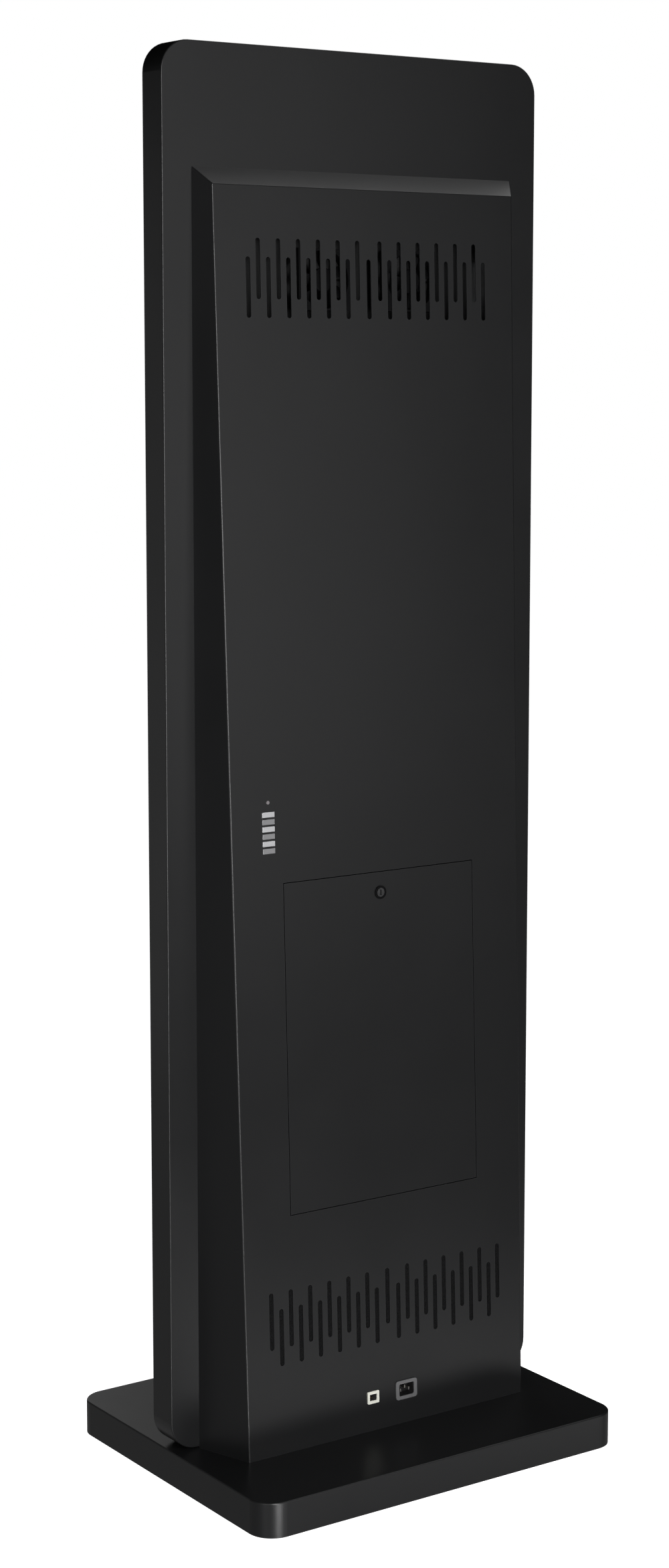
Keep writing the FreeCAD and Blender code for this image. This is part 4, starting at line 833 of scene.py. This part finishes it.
class KIOSK_OT_feet(bpy.types.Operator):
    """Mould the four ridged rubber feet"""

    bl_idname = "kiosk.feet"
    bl_label = "Feet"

    def execute(self, context):
        new_piece("rubber_feet", feet_form(context.scene.kiosk_shapes), "cabinet",
                  foot_rubber(), ("base_feet",))
        return {"FINISHED"}


class KIOSK_OT_plastics(bpy.types.Operator):
    """Mould the fans' wheels and the loudspeakers' cones, and finish their frames and boxes"""

    bl_idname = "kiosk.plastics"
    bl_label = "Fans and loudspeakers"

    def execute(self, context):
        look = context.scene.kiosk_shapes
        plastic = black_plastic()
        coat(nodes_in("black_plastic"), plastic)
        for side in ("left", "right"):
            new_piece(f"fan_wheel_{side}", rotor_form(look, f"fan_rotor_{side}", f"fan_{side}_spin"),
                      f"fan_{side}", plastic, (f"fan_rotor_{side}",))
        new_piece("speaker_diaphragms", cone_form(look), "cabinet", plastic,
                  ("speaker_cones",))
        return {"FINISHED"}


class KIOSK_OT_electronics(bpy.types.Operator):
    """Finish the circuit boards, the player's case and the intake filter"""

    bl_idname = "kiosk.electronics"
    bl_label = "Electronics and filter"

    def execute(self, context):
        coat(nodes_in("circuit_board"), solder_mask())
        coat(nodes_in("player_aluminium"), black_anodising())
        coat(nodes_in("filter_foam"), filter_foam())
        return {"FINISHED"}


def softbox(name, azimuth, distance, height, wide, high, power, aim):
    """A soft rectangular light at an azimuth from the kiosk's rear, aimed at a height over its middle."""
    light = bpy.data.lights.new(name, "AREA")
    light.shape = "RECTANGLE"
    light.size = wide
    light.size_y = high
    light.energy = power
    lamp = bpy.data.objects.new(name, light)
    turn = math.radians(azimuth)
    lamp.location = (distance * math.sin(turn), distance * math.cos(turn), height)
    lamp.rotation_euler = (Vector((0, 0, aim)) - lamp.location).to_track_quat("-Z", "Y").to_euler()
    lamp.visible_camera = False
    bpy.context.scene.collection.objects.link(lamp)
    return lamp


# Name, azimuth in degrees, distance, height, width, height of the panel, watts, height aimed at.
SOFTBOXES = (
    ("face_panel", -22.0, 3.3, 1.5, 1.6, 2.4, 13.4, 0.95),
    ("rear_glow", 22.0, 2.5, 1.1, 0.8, 2.4, 98.0, 0.8),
    ("side_glow", 62.0, 3.0, 0.4, 0.9, 2.2, 14.4, 0.5),
    ("flank_panel", 145.0, 3.0, 1.0, 1.4, 2.2, 2.6, 0.95),
    ("overhead_panel", -100.0, 1.6, 3.6, 2.0, 2.2, 28.0, 0.9),
    ("skirt_wash", -24.0, 1.2, -0.22, 1.4, 0.16, 0.9, 0.0),
    ("corner_glint", 16.0, 1.25, -0.22, 0.35, 0.2, 4.4, 0.0),
    ("rim_light", -155.0, 3.0, 1.14, 0.9, 1.2, 1.6, 0.1),
    ("front_panel", -170.0, 3.4, 0.7, 1.2, 2.2, 7.0, 0.95),
)


def room(look):
    """The room: a white backdrop for the camera and a soft fill for everything else."""
    world = bpy.data.worlds.new("studio_room")
    world.use_nodes = True
    tree = world.node_tree
    tree.nodes.clear()
    rise = tree.nodes.new("ShaderNodeSeparateXYZ")
    tree.links.new(tree.nodes.new("ShaderNodeTexCoord").outputs["Generated"], rise.inputs[0])
    ramp = tree.nodes.new("ShaderNodeValToRGB")
    share = tree.nodes.new("ShaderNodeMapRange")
    share.inputs["From Min"].default_value = -1.0
    tree.links.new(rise.outputs["Z"], share.inputs["Value"])
    tree.links.new(share.outputs["Result"], ramp.inputs["Fac"])
    stops = ramp.color_ramp.elements
    stops[0].position = look.fill_edge
    stops[0].color = (look.fill_low,) * 3 + (1.0,)
    stops[1].position = 1.0
    stops[1].color = (look.fill_high,) * 3 + (1.0,)
    level = stops.new(HORIZON)
    level.color = (look.fill_level,) * 3 + (1.0,)
    soft = tree.nodes.new("ShaderNodeBackground")
    tree.links.new(ramp.outputs["Color"], soft.inputs["Color"])
    white = tree.nodes.new("ShaderNodeBackground")
    white.inputs["Color"].default_value = (look.backdrop,) * 3 + (1.0,)
    either = tree.nodes.new("ShaderNodeMixShader")
    tree.links.new(tree.nodes.new("ShaderNodeLightPath").outputs["Is Camera Ray"], either.inputs["Fac"])
    tree.links.new(soft.outputs[0], either.inputs[1])
    tree.links.new(white.outputs[0], either.inputs[2])
    tree.links.new(either.outputs[0], tree.nodes.new("ShaderNodeOutputWorld").inputs["Surface"])
    bpy.context.scene.world = world


def studio_floor(look):
    """A wide round floor, plain and pale."""
    angle = np.arange(look.floor_sides) * FULL_TURN / look.floor_sides
    rim = np.stack((np.cos(angle), np.sin(angle), 0 * angle), axis=-1) * look.floor_radius
    drop = np.array((0.0, 0.0, FRAME_BOX[0].z - look.floor_gap))
    mesh = bpy.data.meshes.new("studio_floor")
    mesh.from_pydata((rim + drop).tolist(), [], [list(range(len(rim)))])
    pale = tuple(look.floor_colour)
    made = Finish("studio_floor", pale, 0.9, specular=0.1)
    made.colour(made.mix(made.cloud(0.8, 3), shade(pale, 0.99), pale))
    made.shader["Emission Color"].default_value = (1.0, 1.0, 1.0, 1.0)
    made.shader["Emission Strength"].default_value = look.floor_glow
    mesh.materials.append(made.material)
    floor = bpy.data.objects.new("studio_floor", mesh)
    bpy.context.scene.collection.objects.link(floor)
    for kind in ("glossy", "diffuse", "transmission", "shadow"):
        setattr(floor, "visible_" + kind, False)


def studio_camera(look):
    """The camera behind the kiosk's left shoulder, looking a little down."""
    lens = bpy.data.cameras.new("studio_camera")
    lens.lens = look.camera_lens
    lens.sensor_width = look.sensor_width
    lens.shift_x = look.shift_across
    lens.shift_y = look.shift_up
    camera = bpy.data.objects.new("studio_camera", lens)
    camera.location = (look.camera_distance * math.sin(look.camera_azimuth),
                       look.camera_distance * math.cos(look.camera_azimuth), look.camera_height)
    camera.rotation_euler = (math.pi / 2 - look.camera_tilt, 0.0,
                             math.pi - look.camera_azimuth + look.camera_turn)
    bpy.context.scene.collection.objects.link(camera)
    bpy.context.scene.camera = camera


class KIOSK_OT_studio(bpy.types.Operator):
    """Set up the floor, the room, the soft lights and the camera"""

    bl_idname = "kiosk.studio"
    bl_label = "Studio"

    def execute(self, context):
        look = context.scene.kiosk_studio
        studio_floor(look)
        room(look)
        for light in SOFTBOXES:
            softbox(*light)
        studio_camera(look)
        context.scene.view_settings.view_transform = "Standard"
        return {"FINISHED"}


class KIOSK_PT_panel(bpy.types.Panel):
    """Lists the kiosk's operators in the order they run"""

    bl_idname = "KIOSK_PT_panel"
    bl_label = "Touchscreen kiosk"
    bl_space_type = "VIEW_3D"
    bl_region_type = "UI"
    bl_category = "Kiosk"

    def draw(self, context):
        for operator in OPERATORS:
            self.layout.operator(operator.bl_idname)


OPERATORS = (KIOSK_OT_studio, KIOSK_OT_covers, KIOSK_OT_metalwork, KIOSK_OT_screen, KIOSK_OT_keys,
             KIOSK_OT_lock, KIOSK_OT_ports, KIOSK_OT_feet, KIOSK_OT_plastics, KIOSK_OT_electronics)
SETTINGS = {"kiosk_finishes": KioskFinishes, "kiosk_shapes": KioskShapes, "kiosk_studio": KioskStudio}
CLASSES = (*SETTINGS.values(), *OPERATORS, KIOSK_PT_panel)


def register():
    """Register the classes and hang the settings on the scene."""
    for kind in CLASSES:
        bpy.utils.register_class(kind)
    for name, kind in SETTINGS.items():
        setattr(bpy.types.Scene, name, bpy.props.PointerProperty(type=kind))


def unregister():
    """Take the settings and the classes away again."""
    for name in SETTINGS:
        delattr(bpy.types.Scene, name)
    for kind in reversed(CLASSES):
        bpy.utils.unregister_class(kind)


def main():
    """Register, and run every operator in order."""
    register()
    for operator in OPERATORS:
        group, name = operator.bl_idname.split(".")
        if getattr(getattr(bpy.ops, group), name)() != {"FINISHED"}:
            raise RuntimeError(f"{operator.bl_idname} did not finish")


if __name__ == "__main__":
    main()
